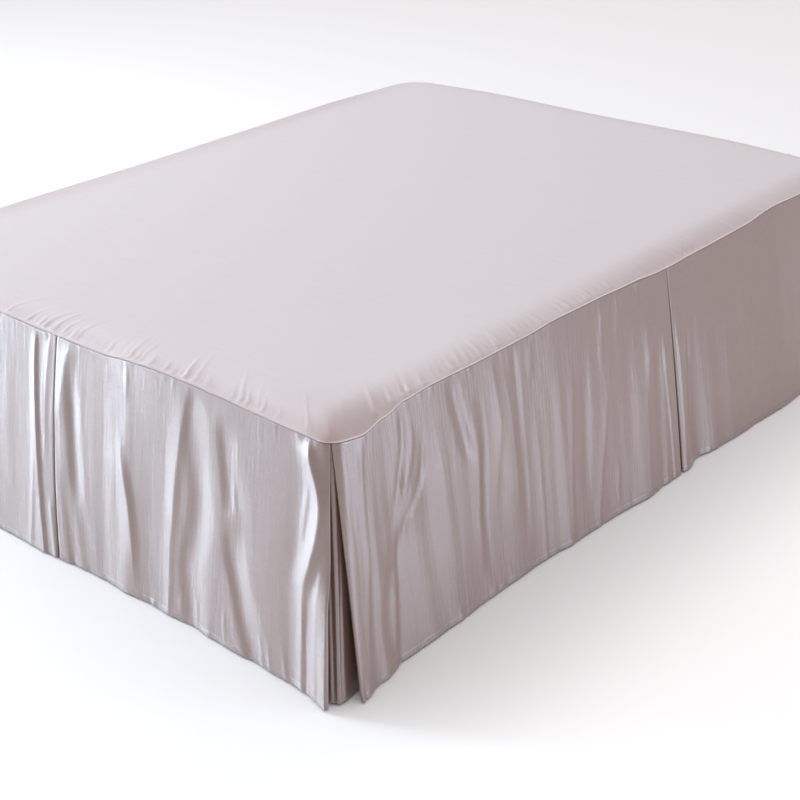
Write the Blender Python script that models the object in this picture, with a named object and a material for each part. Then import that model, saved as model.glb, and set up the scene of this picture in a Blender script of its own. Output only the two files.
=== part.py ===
"""Bed skirt on a plain bed base, queen size: a deck cloth over the base, and a drop of eight
panels round its four sides, with an inverted pleat at each corner and in the middle of each side.

Units are metres, +Z is up, the floor is z = 0 and the origin is under the middle of the bed.
The foot of the bed faces -Y. Sides run anticlockwise seen from above: foot, right, head, left.
"""
import math
from collections import namedtuple

import bmesh
import bpy

# Driving dimensions
BED_WIDTH = 1.52          # deck along X
BED_LENGTH = 2.03         # deck along Y
DECK_TOP = 0.530          # height of the deck's flat middle
SHEET = 0.002             # cloth thickness
GAP = 0.0003              # clearance between pieces that touch
EDGE_GAP = 0.0012         # between two panels' edges at the seam
HEM_HEIGHT = 0.005        # hem above the floor

# Deck edge: distance in from the edge, and share of the edge's drop that is left there
DECK_LIP = 0.0035
DECK_SHOULDER_IN, DECK_SHOULDER_SHARE = 0.012, 0.40
DECK_FLAT_IN = 0.060
DECK_LEAST_RADIUS = 0.015 # corner radius of the inner rings

# Turned-back panel edges and the cloth behind the pleats
FOLD_RADIUS = 0.003       # outer radius of the turned edge
FOLD_STEPS = 4
RETURN_WIDTH = 0.030      # cloth turned back behind a panel's edge
BACK_DEPTH = 0.0074       # pleat back behind the face at the seam
TOP_TUCK = 0.5            # inner layers start lower than the seam, by this share of their depth
PLEAT_BACK_WIDTH = 0.150
PLEAT_BACK_PITCH = 0.025
CORNER_BACK_REACH = 0.045
CORNER_BACK_COLUMNS = 3
CORNER_BACK_HEM_RADIUS = 0.020
CORNER_ARC_STEPS = 6
TIGHT_CORNER = 0.030      # a wider corner's back also bows inward half-way down
CORNER_BACK_BOW_SHARE = 0.20

# Base and legs
BASE_CLEAR = 0.012        # base side behind the face of the drop
BASE_CORNER_RADIUS = 0.090
BASE_BOTTOM = 0.295
BASE_CORNER_STEPS = 8
LEG_RADIUS = 0.028
LEG_INSET = 0.125
LEG_SEGMENTS = 16

# Rows down the drop, as shares of its height, and the column pitch of seen and plain sides
DROP_ROWS = (0.0, 0.10, 0.27, 0.48, 0.73, 1.0)
FINE_PITCH = 0.0220
PLAIN_PITCH = 0.036
ARC_PITCH_SHARE = 0.40    # column pitch on a corner's arc, as a share of its radius
SPREAD_REACH = 0.25       # how far from a panel's end its edge's slant is felt
FOLD_WIDTH_AT_SEAM = 0.75 # share of a fold's width at the seam
FOLD_FULL = 0.45          # share of the drop's height where a fold is full
FOLD_AT_HEM = 0.45        # share of a fold's depth that is left at the hem

# Corner after each side: radius of the seam, how far each panel's hem runs past the corner,
# and how far behind the face the pleat back hangs at the hem, on either side of the corner
Corner = namedtuple("Corner", "seam_radius before_past after_past before_back after_back")
CORNERS = (
    Corner(0.030, 0.058, 0.039, 0.0140, 0.0300),
    Corner(0.045, 0.048, 0.048, 0.0180, 0.0180),
    Corner(0.090, 0.048, 0.048, 0.0180, 0.0180),
    Corner(0.045, 0.048, 0.048, 0.0180, 0.0180),
)

# Where the seam and the hem run: place along the side, seam below the deck's top,
# seam and hem out from the edge of the bed
Line = namedtuple("Line", "place seam_drop seam_out hem_out")
FOOT_LINES = (
    Line(-0.76, 0.022, 0.000, 0.092),
    Line(-0.60, 0.012, 0.000, 0.080),
    Line(-0.42, 0.016, 0.000, 0.070),
    Line(-0.20, 0.010, 0.000, 0.062),
    Line(-0.06, 0.014, 0.000, 0.067),
    Line(0.06, 0.016, 0.000, 0.061),
    Line(0.13, 0.016, 0.000, 0.058),
    Line(0.21, 0.009, 0.000, 0.064),
    Line(0.28, 0.006, 0.000, 0.061),
    Line(0.38, 0.007, 0.000, 0.064),
    Line(0.47, 0.011, 0.000, 0.069),
    Line(0.57, 0.017, 0.000, 0.076),
    Line(0.67, 0.021, 0.000, 0.080),
    Line(0.76, 0.024, 0.000, 0.092),
)
RIGHT_LINES = (
    Line(-1.015, 0.024, 0.000, 0.095),
    Line(-0.935, 0.031, 0.006, 0.078),
    Line(-0.87, 0.021, 0.002, 0.070),
    Line(-0.81, 0.010, 0.000, 0.066),
    Line(-0.73, 0.006, 0.000, 0.062),
    Line(-0.58, 0.009, 0.000, 0.057),
    Line(-0.42, 0.009, 0.000, 0.056),
    Line(-0.33, 0.005, 0.000, 0.064),
    Line(-0.18, 0.008, 0.000, 0.067),
    Line(-0.04, 0.013, 0.000, 0.078),
    Line(0.09, 0.021, 0.000, 0.077),
    Line(0.14, 0.022, 0.000, 0.077),
    Line(0.20, 0.020, 0.000, 0.063),
    Line(0.28, 0.020, 0.000, 0.075),
    Line(0.45, 0.018, 0.000, 0.082),
    Line(0.60, 0.007, 0.000, 0.087),
    Line(0.76, 0.012, 0.000, 0.081),
    Line(1.015, 0.018, 0.000, 0.095),
)
HEAD_LINES = (
    Line(-0.76, 0.018, 0.000, 0.092),
    Line(-0.35, 0.007, 0.000, 0.068),
    Line(0.05, 0.010, 0.000, 0.072),
    Line(0.40, 0.007, 0.000, 0.066),
    Line(0.76, 0.016, 0.000, 0.092),
)
LEFT_LINES = (
    Line(-1.015, 0.016, 0.000, 0.095),
    Line(-0.60, 0.007, 0.000, 0.070),
    Line(-0.20, 0.009, 0.000, 0.063),
    Line(0.10, 0.010, 0.000, 0.074),
    Line(0.55, 0.007, 0.000, 0.066),
    Line(1.015, 0.022, 0.000, 0.095),
)

# Hanging folds: place at the seam, width at the hem, depth (a trough is negative),
# share of the height where the fold begins, and how far it drifts along by the hem
Fold = namedtuple("Fold", "place width depth start drift")
FOOT_FOLDS = (
    Fold(-0.62, 0.110, 0.007, 0.00, -0.010),
    Fold(-0.50, 0.100, -0.006, 0.10, 0.000),
    Fold(-0.39, 0.080, 0.006, 0.00, 0.010),
    Fold(-0.28, 0.090, -0.005, 0.15, 0.000),
    Fold(-0.185, 0.080, 0.005, 0.00, -0.006),
    Fold(-0.084, 0.065, 0.008, 0.00, 0.004),
    Fold(0.012, 0.060, 0.006, 0.00, 0.000),
    Fold(0.075, 0.070, -0.006, 0.00, 0.006),
    Fold(0.154, 0.060, 0.006, 0.05, 0.000),
    Fold(0.207, 0.060, 0.006, 0.00, -0.006),
    Fold(0.272, 0.080, -0.004, 0.20, 0.000),
    Fold(0.346, 0.080, 0.007, 0.00, 0.010),
    Fold(0.422, 0.085, -0.008, 0.05, 0.010),
    Fold(0.480, 0.070, 0.005, 0.10, 0.000),
    Fold(0.535, 0.075, -0.007, 0.10, 0.012),
    Fold(0.605, 0.100, 0.005, 0.25, 0.000),
    Fold(0.672, 0.075, -0.006, 0.00, -0.008),
    Fold(0.722, 0.080, 0.009, 0.00, -0.006),
)
RIGHT_FOLDS = (
    Fold(-0.937, 0.065, 0.009, 0.00, 0.010),
    Fold(-0.885, 0.060, -0.007, 0.00, 0.020),
    Fold(-0.830, 0.070, 0.008, 0.00, 0.018),
    Fold(-0.780, 0.065, -0.007, 0.05, 0.010),
    Fold(-0.725, 0.070, 0.009, 0.05, 0.000),
    Fold(-0.640, 0.095, -0.006, 0.10, -0.010),
    Fold(-0.520, 0.100, 0.008, 0.00, 0.012),
    Fold(-0.430, 0.090, -0.006, 0.10, 0.000),
    Fold(-0.343, 0.090, 0.006, 0.00, 0.006),
    Fold(-0.245, 0.100, -0.005, 0.15, 0.000),
    Fold(-0.150, 0.090, 0.005, 0.00, -0.008),
    Fold(-0.070, 0.080, -0.005, 0.05, -0.010),
    Fold(0.010, 0.080, 0.010, 0.00, 0.012),
    Fold(0.062, 0.060, -0.005, 0.20, 0.008),
    Fold(0.137, 0.050, 0.007, 0.00, 0.004),
    Fold(0.172, 0.045, -0.006, 0.05, 0.020),
    Fold(0.222, 0.070, 0.004, 0.00, 0.010),
    Fold(0.285, 0.080, -0.005, 0.10, 0.010),
    Fold(0.360, 0.100, 0.006, 0.00, 0.000),
    Fold(0.480, 0.110, -0.005, 0.20, 0.000),
    Fold(0.600, 0.100, 0.006, 0.00, 0.008),
    Fold(0.720, 0.120, -0.005, 0.10, 0.000),
    Fold(0.850, 0.120, 0.007, 0.00, -0.010),
)
HEAD_FOLDS = (
    Fold(-0.56, 0.140, 0.007, 0.00, 0.010),
    Fold(-0.33, 0.150, -0.006, 0.10, 0.000),
    Fold(-0.15, 0.120, 0.007, 0.00, -0.010),
    Fold(0.20, 0.140, 0.006, 0.10, 0.010),
    Fold(0.40, 0.150, -0.006, 0.00, 0.000),
    Fold(0.60, 0.130, 0.007, 0.00, -0.010),
)
LEFT_FOLDS = (
    Fold(-0.78, 0.140, 0.007, 0.00, 0.010),
    Fold(-0.55, 0.150, -0.006, 0.10, 0.000),
    Fold(-0.34, 0.140, 0.007, 0.00, -0.010),
    Fold(-0.14, 0.120, -0.005, 0.10, 0.000),
    Fold(0.18, 0.140, 0.007, 0.00, 0.010),
    Fold(0.40, 0.150, -0.006, 0.00, 0.000),
    Fold(0.62, 0.150, 0.007, 0.10, -0.010),
    Fold(0.83, 0.130, -0.006, 0.00, 0.000),
)

# Sides: their length, unit vectors along and out, middle pleat's place and how wide it opens
# at the hem, how far its back hangs behind the face at the hem, column pitch and tables
Side = namedtuple("Side", "name length along out pleat pleat_open pleat_back pitch lines folds")
SIDES = (
    Side("foot", BED_WIDTH, (1, 0), (0, -1), -0.019, 0.002, 0.010, FINE_PITCH,
         FOOT_LINES, FOOT_FOLDS),
    Side("right", BED_LENGTH, (0, 1), (1, 0), 0.112, 0.010, 0.014, FINE_PITCH,
         RIGHT_LINES, RIGHT_FOLDS),
    Side("head", BED_WIDTH, (-1, 0), (0, 1), 0.0, 0.006, 0.012, PLAIN_PITCH,
         HEAD_LINES, HEAD_FOLDS),
    Side("left", BED_LENGTH, (0, -1), (-1, 0), 0.0, 0.006, 0.012, PLAIN_PITCH,
         LEFT_LINES, LEFT_FOLDS),
)

# Upholstered top of the base: distance in from its side, and height below the deck's top
BASE_EDGE = (
    (0.000, 0.037),
    (0.002, 0.026),
    (0.008, 0.017),
    (0.024, 0.0105),
    (0.050, 0.0046),
    (0.085, SHEET + GAP),
)
BASE_UNDER_CHAMFER = 0.006

SATIN = ("satin", (0.52, 0.48, 0.47, 1.0), 0.35)
DECK_CLOTH = ("deck_cloth", (0.72, 0.66, 0.65, 1.0), 0.75)
BASE_CLOTH = ("base_cloth", (0.55, 0.53, 0.50, 1.0), 0.85)
LEG_WOOD = ("leg_wood", (0.30, 0.20, 0.12, 1.0), 0.50)


def smooth(x):
    """Soft step from 0 to 1."""
    x = min(max(x, 0.0), 1.0)
    return x * x * (3.0 - 2.0 * x)


def along_line(lines, place, column):
    """Read one column of a Line table at a place, eased from row to row."""
    if place <= lines[0].place:
        return getattr(lines[0], column)
    for low, high in zip(lines, lines[1:]):
        if place <= high.place:
            share = smooth((place - low.place) / (high.place - low.place))
            start = getattr(low, column)
            return start + share * (getattr(high, column) - start)
    return getattr(lines[-1], column)


def fold_offset(side, place, t):
    """Sum of the side's folds at a place, t of the way down from seam to hem."""
    total = 0.0
    for fold in side.folds:
        centre = fold.place + fold.drift * t
        half_width = 0.5 * fold.width * (FOLD_WIDTH_AT_SEAM + (1.0 - FOLD_WIDTH_AT_SEAM) * t)
        reach = abs(place - centre) / half_width
        if reach < 1.0:
            swell = smooth((t - fold.start) / FOLD_FULL)
            settle = 1.0 - (1.0 - FOLD_AT_HEM) * smooth((t - FOLD_FULL) / (1.0 - FOLD_FULL))
            total += fold.depth * swell * settle * math.cos(0.5 * math.pi * reach) ** 2
    return total


def corner_before(index):
    """The corner where a side begins."""
    return CORNERS[(index - 1) % len(SIDES)]


def seam_ends(index):
    """First and last place of a side's seam, measured to the middle of the corner arcs."""
    half = SIDES[index].length / 2
    arc_gain = math.pi / 4 - 1.0
    first = -(half + corner_before(index).seam_radius * arc_gain)
    last = half + CORNERS[index].seam_radius * arc_gain
    return first, last


def round_corner(index, place):
    """Turn a place on the seam into (along, inset from the straight edge, turn of the normal)."""
    half = SIDES[index].length / 2
    corner = CORNERS[index] if place > 0 else corner_before(index)
    radius = corner.seam_radius
    sign = 1.0 if place > 0 else -1.0
    over = abs(place) - (half - radius)
    if over <= 0.0:
        return place, 0.0, 0.0
    turn = over / radius
    along = sign * (half - radius + radius * math.sin(turn))
    return along, radius * (1.0 - math.cos(turn)), sign * turn


def to_world(index, along, out, z):
    """World point from a distance along a side and a distance out from its straight edge."""
    side = SIDES[index]
    edge = SIDES[(index + 1) % len(SIDES)].length / 2
    x = side.along[0] * along + side.out[0] * (edge + out)
    y = side.along[1] * along + side.out[1] * (edge + out)
    return x, y, z


def hem_slant(index, place, t):
    """How far a panel's cloth is carried along the side by t, from its slanting end edges."""
    side = SIDES[index]
    half = side.length / 2
    first, last = seam_ends(index)
    ends = (
        (first, -(half + corner_before(index).after_past), -1.0),
        (side.pleat, side.pleat - side.pleat_open / 2, 1.0),
        (side.pleat, side.pleat + side.pleat_open / 2, -1.0),
        (last, half + CORNERS[index].before_past, 1.0),
    )
    shift = 0.0
    for end, hem_end, panel_side in ends:
        inside = (end - place) * panel_side
        if -1e-9 <= inside < SPREAD_REACH:
            start = round_corner(index, end)[0]
            shift += (hem_end - start) * t * smooth(1.0 - inside / SPREAD_REACH)
    return shift


def hang(index, place, t, depth=0.0, slanted=True):
    """World point of the drop: place along the seam, t down to the hem, depth behind the face."""
    side = SIDES[index]
    along, inset, turn = round_corner(index, place)
    turn *= 1.0 - t
    out = (along_line(side.lines, place, "seam_out") - inset) * (1.0 - t)
    out += along_line(side.lines, place, "hem_out") * t + fold_offset(side, place, t)
    if slanted:
        along += hem_slant(index, place, t)
    along -= depth * math.sin(turn)
    out -= depth * math.cos(turn)
    top = DECK_TOP - along_line(side.lines, place, "seam_drop") - GAP - TOP_TUCK * depth
    return to_world(index, along, out, top + (HEM_HEIGHT - top) * t)


def spaced(first, last, pitch):
    """Evenly spaced places from first to last, no further apart than the pitch."""
    steps = max(1, math.ceil((last - first) / pitch))
    return [first + (last - first) * step / steps for step in range(steps + 1)]


def panel_ends(index):
    """Seam places where the side's two panels begin and end."""
    side = SIDES[index]
    first, last = seam_ends(index)
    part = EDGE_GAP / 2
    return (first + part, side.pleat - part), (side.pleat + part, last - part)


def panel_places(index, first, last):
    """Column places of a panel's face, closer together where the seam rounds a corner."""
    side = SIDES[index]
    half = side.length / 2
    marks = [first]
    for mark in (corner_before(index).seam_radius - half, half - CORNERS[index].seam_radius):
        if first < mark < last:
            marks.append(mark)
    marks.append(last)
    places = [first]
    for start, end in zip(marks, marks[1:]):
        radius = CORNERS[index].seam_radius if start > 0 else corner_before(index).seam_radius
        on_arc = abs(start + end) / 2 > half - radius
        pitch = min(side.pitch, ARC_PITCH_SHARE * radius) if on_arc else side.pitch
        places += spaced(start, end, pitch)[1:]
    return places


def turned_edge(face, end, sign):
    """(place, depth) steps from the face's last column round a turned edge and back behind it."""
    steps = []
    for step in range(1, FOLD_STEPS + 1):
        angle = math.pi * step / FOLD_STEPS
        place = end - sign * FOLD_RADIUS * (1.0 - math.sin(angle))
        steps.append((place, FOLD_RADIUS * (1.0 - math.cos(angle))))
    behind = []
    for place in face:
        if FOLD_RADIUS * 1.5 < abs(end - place) < RETURN_WIDTH - FOLD_RADIUS:
            behind.append(place)
    behind.sort(reverse=sign > 0)
    for place in behind + [end - sign * RETURN_WIDTH]:
        steps.append((place, 2.0 * FOLD_RADIUS))
    return steps


def clear_scene():
    for thing in list(bpy.data.objects):
        bpy.data.objects.remove(thing, do_unlink=True)


def material(spec):
    name, colour, roughness = spec
    found = bpy.data.materials.get(name)
    if found:
        return found
    made = bpy.data.materials.new(name)
    made.use_nodes = True
    shader = made.node_tree.nodes["Principled BSDF"]
    shader.inputs["Base Color"].default_value = colour
    shader.inputs["Roughness"].default_value = roughness
    made.diffuse_color = colour
    return made


def add_object(name, mesh_builder, spec, thickness=0.0):
    """Turn a bmesh into a named object, and a sheet into a solid of its thickness."""
    mesh = bpy.data.meshes.new(name)
    mesh_builder.to_mesh(mesh)
    mesh_builder.free()
    mesh.materials.append(material(spec))
    thing = bpy.data.objects.new(name, mesh)
    bpy.context.scene.collection.objects.link(thing)
    if thickness:
        solidify = thing.modifiers.new("cloth", "SOLIDIFY")
        solidify.thickness = thickness
        solidify.offset = -1.0
        solidify.use_even_offset = True
    return thing


def sheet(name, rows, spec, closed=False, cap=False):
    """A cloth sheet through rows of points, its outer face on them; cap fills the first row."""
    builder = bmesh.new()
    grid = [[builder.verts.new(point) for point in row] for row in rows]
    for upper, lower in zip(grid, grid[1:]):
        count = len(upper) if closed else len(upper) - 1
        for column in range(count):
            after = (column + 1) % len(upper)
            builder.faces.new((upper[column], lower[column], lower[after], upper[after]))
    if cap:
        builder.faces.new(grid[0])
    return add_object(name, builder, spec, SHEET)


def make_panel(index, number, ends):
    """One drop panel: its face, and both upright edges turned back behind it."""
    first, last = ends
    face = panel_places(index, first + FOLD_RADIUS, last - FOLD_RADIUS)
    columns = turned_edge(face, first, -1.0)[::-1]
    columns += [(place, 0.0) for place in face]
    columns += turned_edge(face, last, 1.0)
    rows = []
    for t in DROP_ROWS:
        rows.append([hang(index, place, t, depth) for place, depth in columns])
    return sheet(f"drop_{SIDES[index].name}_{number}", rows, SATIN)


def make_pleat_back(index):
    """The cloth that shows through a side's middle pleat, hung behind both panels."""
    side = SIDES[index]
    half = PLEAT_BACK_WIDTH / 2
    columns = spaced(side.pleat - half, side.pleat + half, PLEAT_BACK_PITCH)
    rows = []
    for t in DROP_ROWS:
        depth = BACK_DEPTH + (side.pleat_back - BACK_DEPTH + 2 * FOLD_RADIUS) * t
        rows.append([hang(index, place, t, depth, slanted=False) for place in columns])
    return sheet(f"pleat_back_{side.name}", rows, SATIN)


def make_corner_back(index):
    """The cloth behind a corner pleat, bent round the corner from one side to the next."""
    after = (index + 1) % len(SIDES)
    corner = CORNERS[index]
    before_half, after_half = SIDES[index].length / 2, SIDES[after].length / 2
    arc_margin = corner.seam_radius * math.pi / 4 + 0.006
    nearest_before = seam_ends(index)[1] - arc_margin
    nearest_after = seam_ends(after)[0] + arc_margin
    reaches = [CORNER_BACK_REACH * step / CORNER_BACK_COLUMNS for step in range(CORNER_BACK_COLUMNS + 1)]
    seam_radius = corner.seam_radius - BACK_DEPTH
    top = DECK_TOP - SIDES[index].lines[-1].seam_drop - GAP - TOP_TUCK * BACK_DEPTH
    rows = []
    for t in DROP_ROWS:
        bow = CORNER_BACK_BOW_SHARE * (corner.seam_radius - TIGHT_CORNER) * 4.0 * t * (1.0 - t)
        depth_before = BACK_DEPTH + (corner.before_back - BACK_DEPTH) * t + bow
        depth_after = BACK_DEPTH + (corner.after_back - BACK_DEPTH) * t + bow
        row = [hang(index, nearest_before - reach, t, depth_before) for reach in reversed(reaches)]
        radius = seam_radius + (CORNER_BACK_HEM_RADIUS - seam_radius) * t
        along = before_half + SIDES[after].lines[0].hem_out * t - depth_after - radius
        out = SIDES[index].lines[-1].hem_out * t - depth_before - radius
        for step in range(CORNER_ARC_STEPS + 1):
            angle = 0.5 * math.pi * step / CORNER_ARC_STEPS
            row.append(to_world(index, along + radius * math.sin(angle),
                                out + radius * math.cos(angle), top + (HEM_HEIGHT - top) * t))
        row += [hang(after, nearest_after + reach, t, depth_after) for reach in reaches]
        rows.append(row)
    return sheet(f"corner_back_{index + 1}", rows, SATIN)


def ring_point(index, place, inward):
    """(along, inset) of a ring that runs inward of the seam, kept rounded at its corners."""
    half = SIDES[index].length / 2
    start_radius, end_radius = corner_before(index).seam_radius, CORNERS[index].seam_radius
    start, end = start_radius - half, half - end_radius
    ring_start_radius = max(start_radius - inward, DECK_LEAST_RADIUS)
    ring_end_radius = max(end_radius - inward, DECK_LEAST_RADIUS)
    ring_start = inward + ring_start_radius - half
    ring_end = half - inward - ring_end_radius
    if place < start:
        turn = (start - place) / start_radius
        return (ring_start - ring_start_radius * math.sin(turn),
                inward + ring_start_radius * (1.0 - math.cos(turn)))
    if place > end:
        turn = (place - end) / end_radius
        return (ring_end + ring_end_radius * math.sin(turn),
                inward + ring_end_radius * (1.0 - math.cos(turn)))
    share = (place - start) / (end - start)
    return ring_start + share * (ring_end - ring_start), inward


def make_deck():
    """The deck cloth: flat on the base, rolled over its edge and down to the seam."""
    seam_ring, lip_ring, shoulder_ring, flat_ring = [], [], [], []
    for index, side in enumerate(SIDES):
        places = []
        for first, last in panel_ends(index):
            places += [first] + panel_places(index, first + FOLD_RADIUS, last - FOLD_RADIUS) + [last]
        for place in places:
            drop = along_line(side.lines, place, "seam_drop")
            seam_out = along_line(side.lines, place, "seam_out")
            lip = min(DECK_LIP, 0.45 * drop)
            profile = (
                (seam_ring, 0.0, drop),
                (lip_ring, 0.0, drop - lip),
                (shoulder_ring, DECK_SHOULDER_IN, (drop - lip) * DECK_SHOULDER_SHARE),
                (flat_ring, DECK_FLAT_IN, 0.0),
            )
            for ring, inward, down in profile:
                along, inset = ring_point(index, place, inward)
                out = seam_out * (1.0 - smooth(inward / DECK_FLAT_IN)) - inset
                ring.append(to_world(index, along, out, DECK_TOP - down))
    rows = [flat_ring, shoulder_ring, lip_ring, seam_ring]
    return sheet("deck", rows, DECK_CLOTH, closed=True, cap=True)


def rounded_rectangle(half_x, half_y, radius, z):
    points = []
    for corner, (sign_x, sign_y) in enumerate(((1, -1), (1, 1), (-1, 1), (-1, -1))):
        for step in range(BASE_CORNER_STEPS + 1):
            angle = 0.5 * math.pi * (corner - 1 + step / BASE_CORNER_STEPS)
            points.append((sign_x * (half_x - radius) + radius * math.cos(angle),
                           sign_y * (half_y - radius) + radius * math.sin(angle), z))
    return points


def make_base():
    """The bed base: an upholstered box with a soft top edge."""
    half_x = BED_WIDTH / 2 - BASE_CLEAR
    half_y = BED_LENGTH / 2 - BASE_CLEAR
    levels = [(BASE_UNDER_CHAMFER, BASE_BOTTOM), (0.0, BASE_BOTTOM + BASE_UNDER_CHAMFER)]
    levels += [(inward, DECK_TOP - below) for inward, below in BASE_EDGE]
    builder = bmesh.new()
    rings = []
    for inward, z in levels:
        points = rounded_rectangle(half_x - inward, half_y - inward, BASE_CORNER_RADIUS - 0.5 * inward, z)
        rings.append([builder.verts.new(point) for point in points])
    for lower, upper in zip(rings, rings[1:]):
        for column in range(len(lower)):
            after = (column + 1) % len(lower)
            builder.faces.new((lower[column], lower[after], upper[after], upper[column]))
    builder.faces.new(rings[0][::-1])
    builder.faces.new(rings[-1])
    return add_object("bed_base", builder, BASE_CLOTH)


def make_leg(number, x, y):
    builder = bmesh.new()
    height = BASE_BOTTOM - GAP
    bmesh.ops.create_cone(builder, cap_ends=True, segments=LEG_SEGMENTS,
                          radius1=LEG_RADIUS, radius2=LEG_RADIUS, depth=height)
    leg = add_object(f"leg_{number}", builder, LEG_WOOD)
    leg.location = (x, y, height / 2)
    return leg


def main():
    clear_scene()
    make_deck()
    for index in range(len(SIDES)):
        for number, ends in enumerate(panel_ends(index), start=1):
            make_panel(index, number, ends)
        make_pleat_back(index)
        make_corner_back(index)
    make_base()
    leg_x = BED_WIDTH / 2 - LEG_INSET
    leg_y = BED_LENGTH / 2 - LEG_INSET
    number = 0
    for x in (-leg_x, leg_x):
        for y in (-leg_y, 0.0, leg_y):
            number += 1
            make_leg(number, x, y)


main()
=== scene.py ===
# %% [markdown]
# # A bed skirt on its bed base
# A bed skirt is sewn from a flat deck cloth, which the mattress holds down, and a drop: long
# satin panels that hang from the deck's edge to just above the floor. Its fullness is folded
# into an inverted pleat at each corner and in the middle of each side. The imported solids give
# the size and the hung shape, and every visible piece below is a finer version of one of them.

import math
from collections import namedtuple

import bpy
import numpy as np
from mathutils import Matrix, Vector


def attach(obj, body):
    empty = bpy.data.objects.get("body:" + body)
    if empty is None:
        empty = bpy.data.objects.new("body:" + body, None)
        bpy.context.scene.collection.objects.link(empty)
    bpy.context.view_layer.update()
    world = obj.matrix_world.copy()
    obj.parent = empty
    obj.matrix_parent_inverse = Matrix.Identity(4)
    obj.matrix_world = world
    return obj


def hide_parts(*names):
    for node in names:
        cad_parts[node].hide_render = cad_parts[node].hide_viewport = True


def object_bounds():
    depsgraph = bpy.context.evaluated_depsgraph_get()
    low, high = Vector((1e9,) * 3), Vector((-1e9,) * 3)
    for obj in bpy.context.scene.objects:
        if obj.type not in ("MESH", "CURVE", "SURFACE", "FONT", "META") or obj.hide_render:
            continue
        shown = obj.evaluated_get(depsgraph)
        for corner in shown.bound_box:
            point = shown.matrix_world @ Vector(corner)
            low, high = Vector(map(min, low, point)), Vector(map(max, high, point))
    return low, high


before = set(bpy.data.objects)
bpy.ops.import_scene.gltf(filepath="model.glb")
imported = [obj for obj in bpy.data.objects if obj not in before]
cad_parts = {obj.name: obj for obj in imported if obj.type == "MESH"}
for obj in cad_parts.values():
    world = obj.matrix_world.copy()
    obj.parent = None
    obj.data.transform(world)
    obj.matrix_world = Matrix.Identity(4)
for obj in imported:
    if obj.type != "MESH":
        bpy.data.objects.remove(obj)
cad_box = [list(corner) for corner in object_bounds()]
scene = bpy.context.scene
print("CAD box:", cad_box)

# %% [markdown]
# ## The camera
# A long lens from a little above head height, turned to look across the nearest corner, shows
# the deck and two sides at once. A camera is placed by three directions: across, up and back.

# %% Camera
CAMERA_PLACE = Vector((2.580, -2.918, 1.859))
CAMERA_YAW, CAMERA_PITCH, CAMERA_ROLL = 40.97, 25.66, -1.09  # degrees
FRAME_PIXELS, FOCAL_PIXELS, SENSOR_MM = 800, 1634, 36.0

yaw, pitch, roll = (math.radians(angle) for angle in (CAMERA_YAW, CAMERA_PITCH, CAMERA_ROLL))
level = Vector((math.cos(yaw), math.sin(yaw), 0.0))
ahead = Vector((-math.sin(yaw) * math.cos(pitch), math.cos(yaw) * math.cos(pitch), -math.sin(pitch)))
upright = level.cross(ahead)
across = math.cos(roll) * level + math.sin(roll) * upright
up = math.cos(roll) * upright - math.sin(roll) * level

camera = bpy.data.objects.new("camera", bpy.data.cameras.new("camera"))
camera.data.sensor_width = SENSOR_MM
camera.data.lens = FOCAL_PIXELS * SENSOR_MM / FRAME_PIXELS
turn = Matrix((across, up, -ahead)).transposed().to_4x4()
camera.matrix_world = Matrix.Translation(CAMERA_PLACE) @ turn
scene.collection.objects.link(camera)
scene.camera = camera
print("lens, mm:", round(camera.data.lens, 2))

# %% [markdown]
# ## The sizes of the made thing
# A maker cuts by a list of sizes, and the same ones drive every piece here. Lengths are in
# metres. Sides are numbered anticlockwise from above: foot, right, head, left, and a place on
# a side is measured along it from its middle.

# %% Sizes
BED_WIDTH = 1.52
BED_LENGTH = 2.03
DECK_TOP = round(cad_box[1][2], 3)
HEM_HEIGHT = 0.005        # the hem hangs just clear of the floor
DROP = DECK_TOP - HEM_HEIGHT
print("bed:", BED_WIDTH, "x", BED_LENGTH, "deck top", DECK_TOP, "drop", round(DROP, 3))

# %% [markdown]
# ## The corners
# The deck is cut with rounded corners and its seam follows them. A pleat opens at each one: the
# ends of two panels hang past the corner, and a strip of the same cloth behind them bends round
# it. A gentle radius lets the seam turn without a knot of cloth in it.

# %% Corners
# After each side: radius of the seam, how far each panel's hem runs past the corner, and how
# far behind the face the pleat back hangs at the hem, on either side of the corner
Corner = namedtuple("Corner", "seam_radius before_past after_past before_back after_back")
CORNERS = (
    Corner(0.030, 0.058, 0.039, 0.0140, 0.0300),
    Corner(0.045, 0.048, 0.048, 0.0180, 0.0180),
    Corner(0.090, 0.048, 0.048, 0.0180, 0.0180),
    Corner(0.045, 0.048, 0.048, 0.0180, 0.0180),
)
print("corner radii:", [corner.seam_radius for corner in CORNERS])

# %% [markdown]
# ## Where the seam and the hem run
# No long seam is straight. Each table gives, place by place, how far the seam dips below the
# deck's top and how far the seam and the hem stand out from the edge of the bed.

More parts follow.
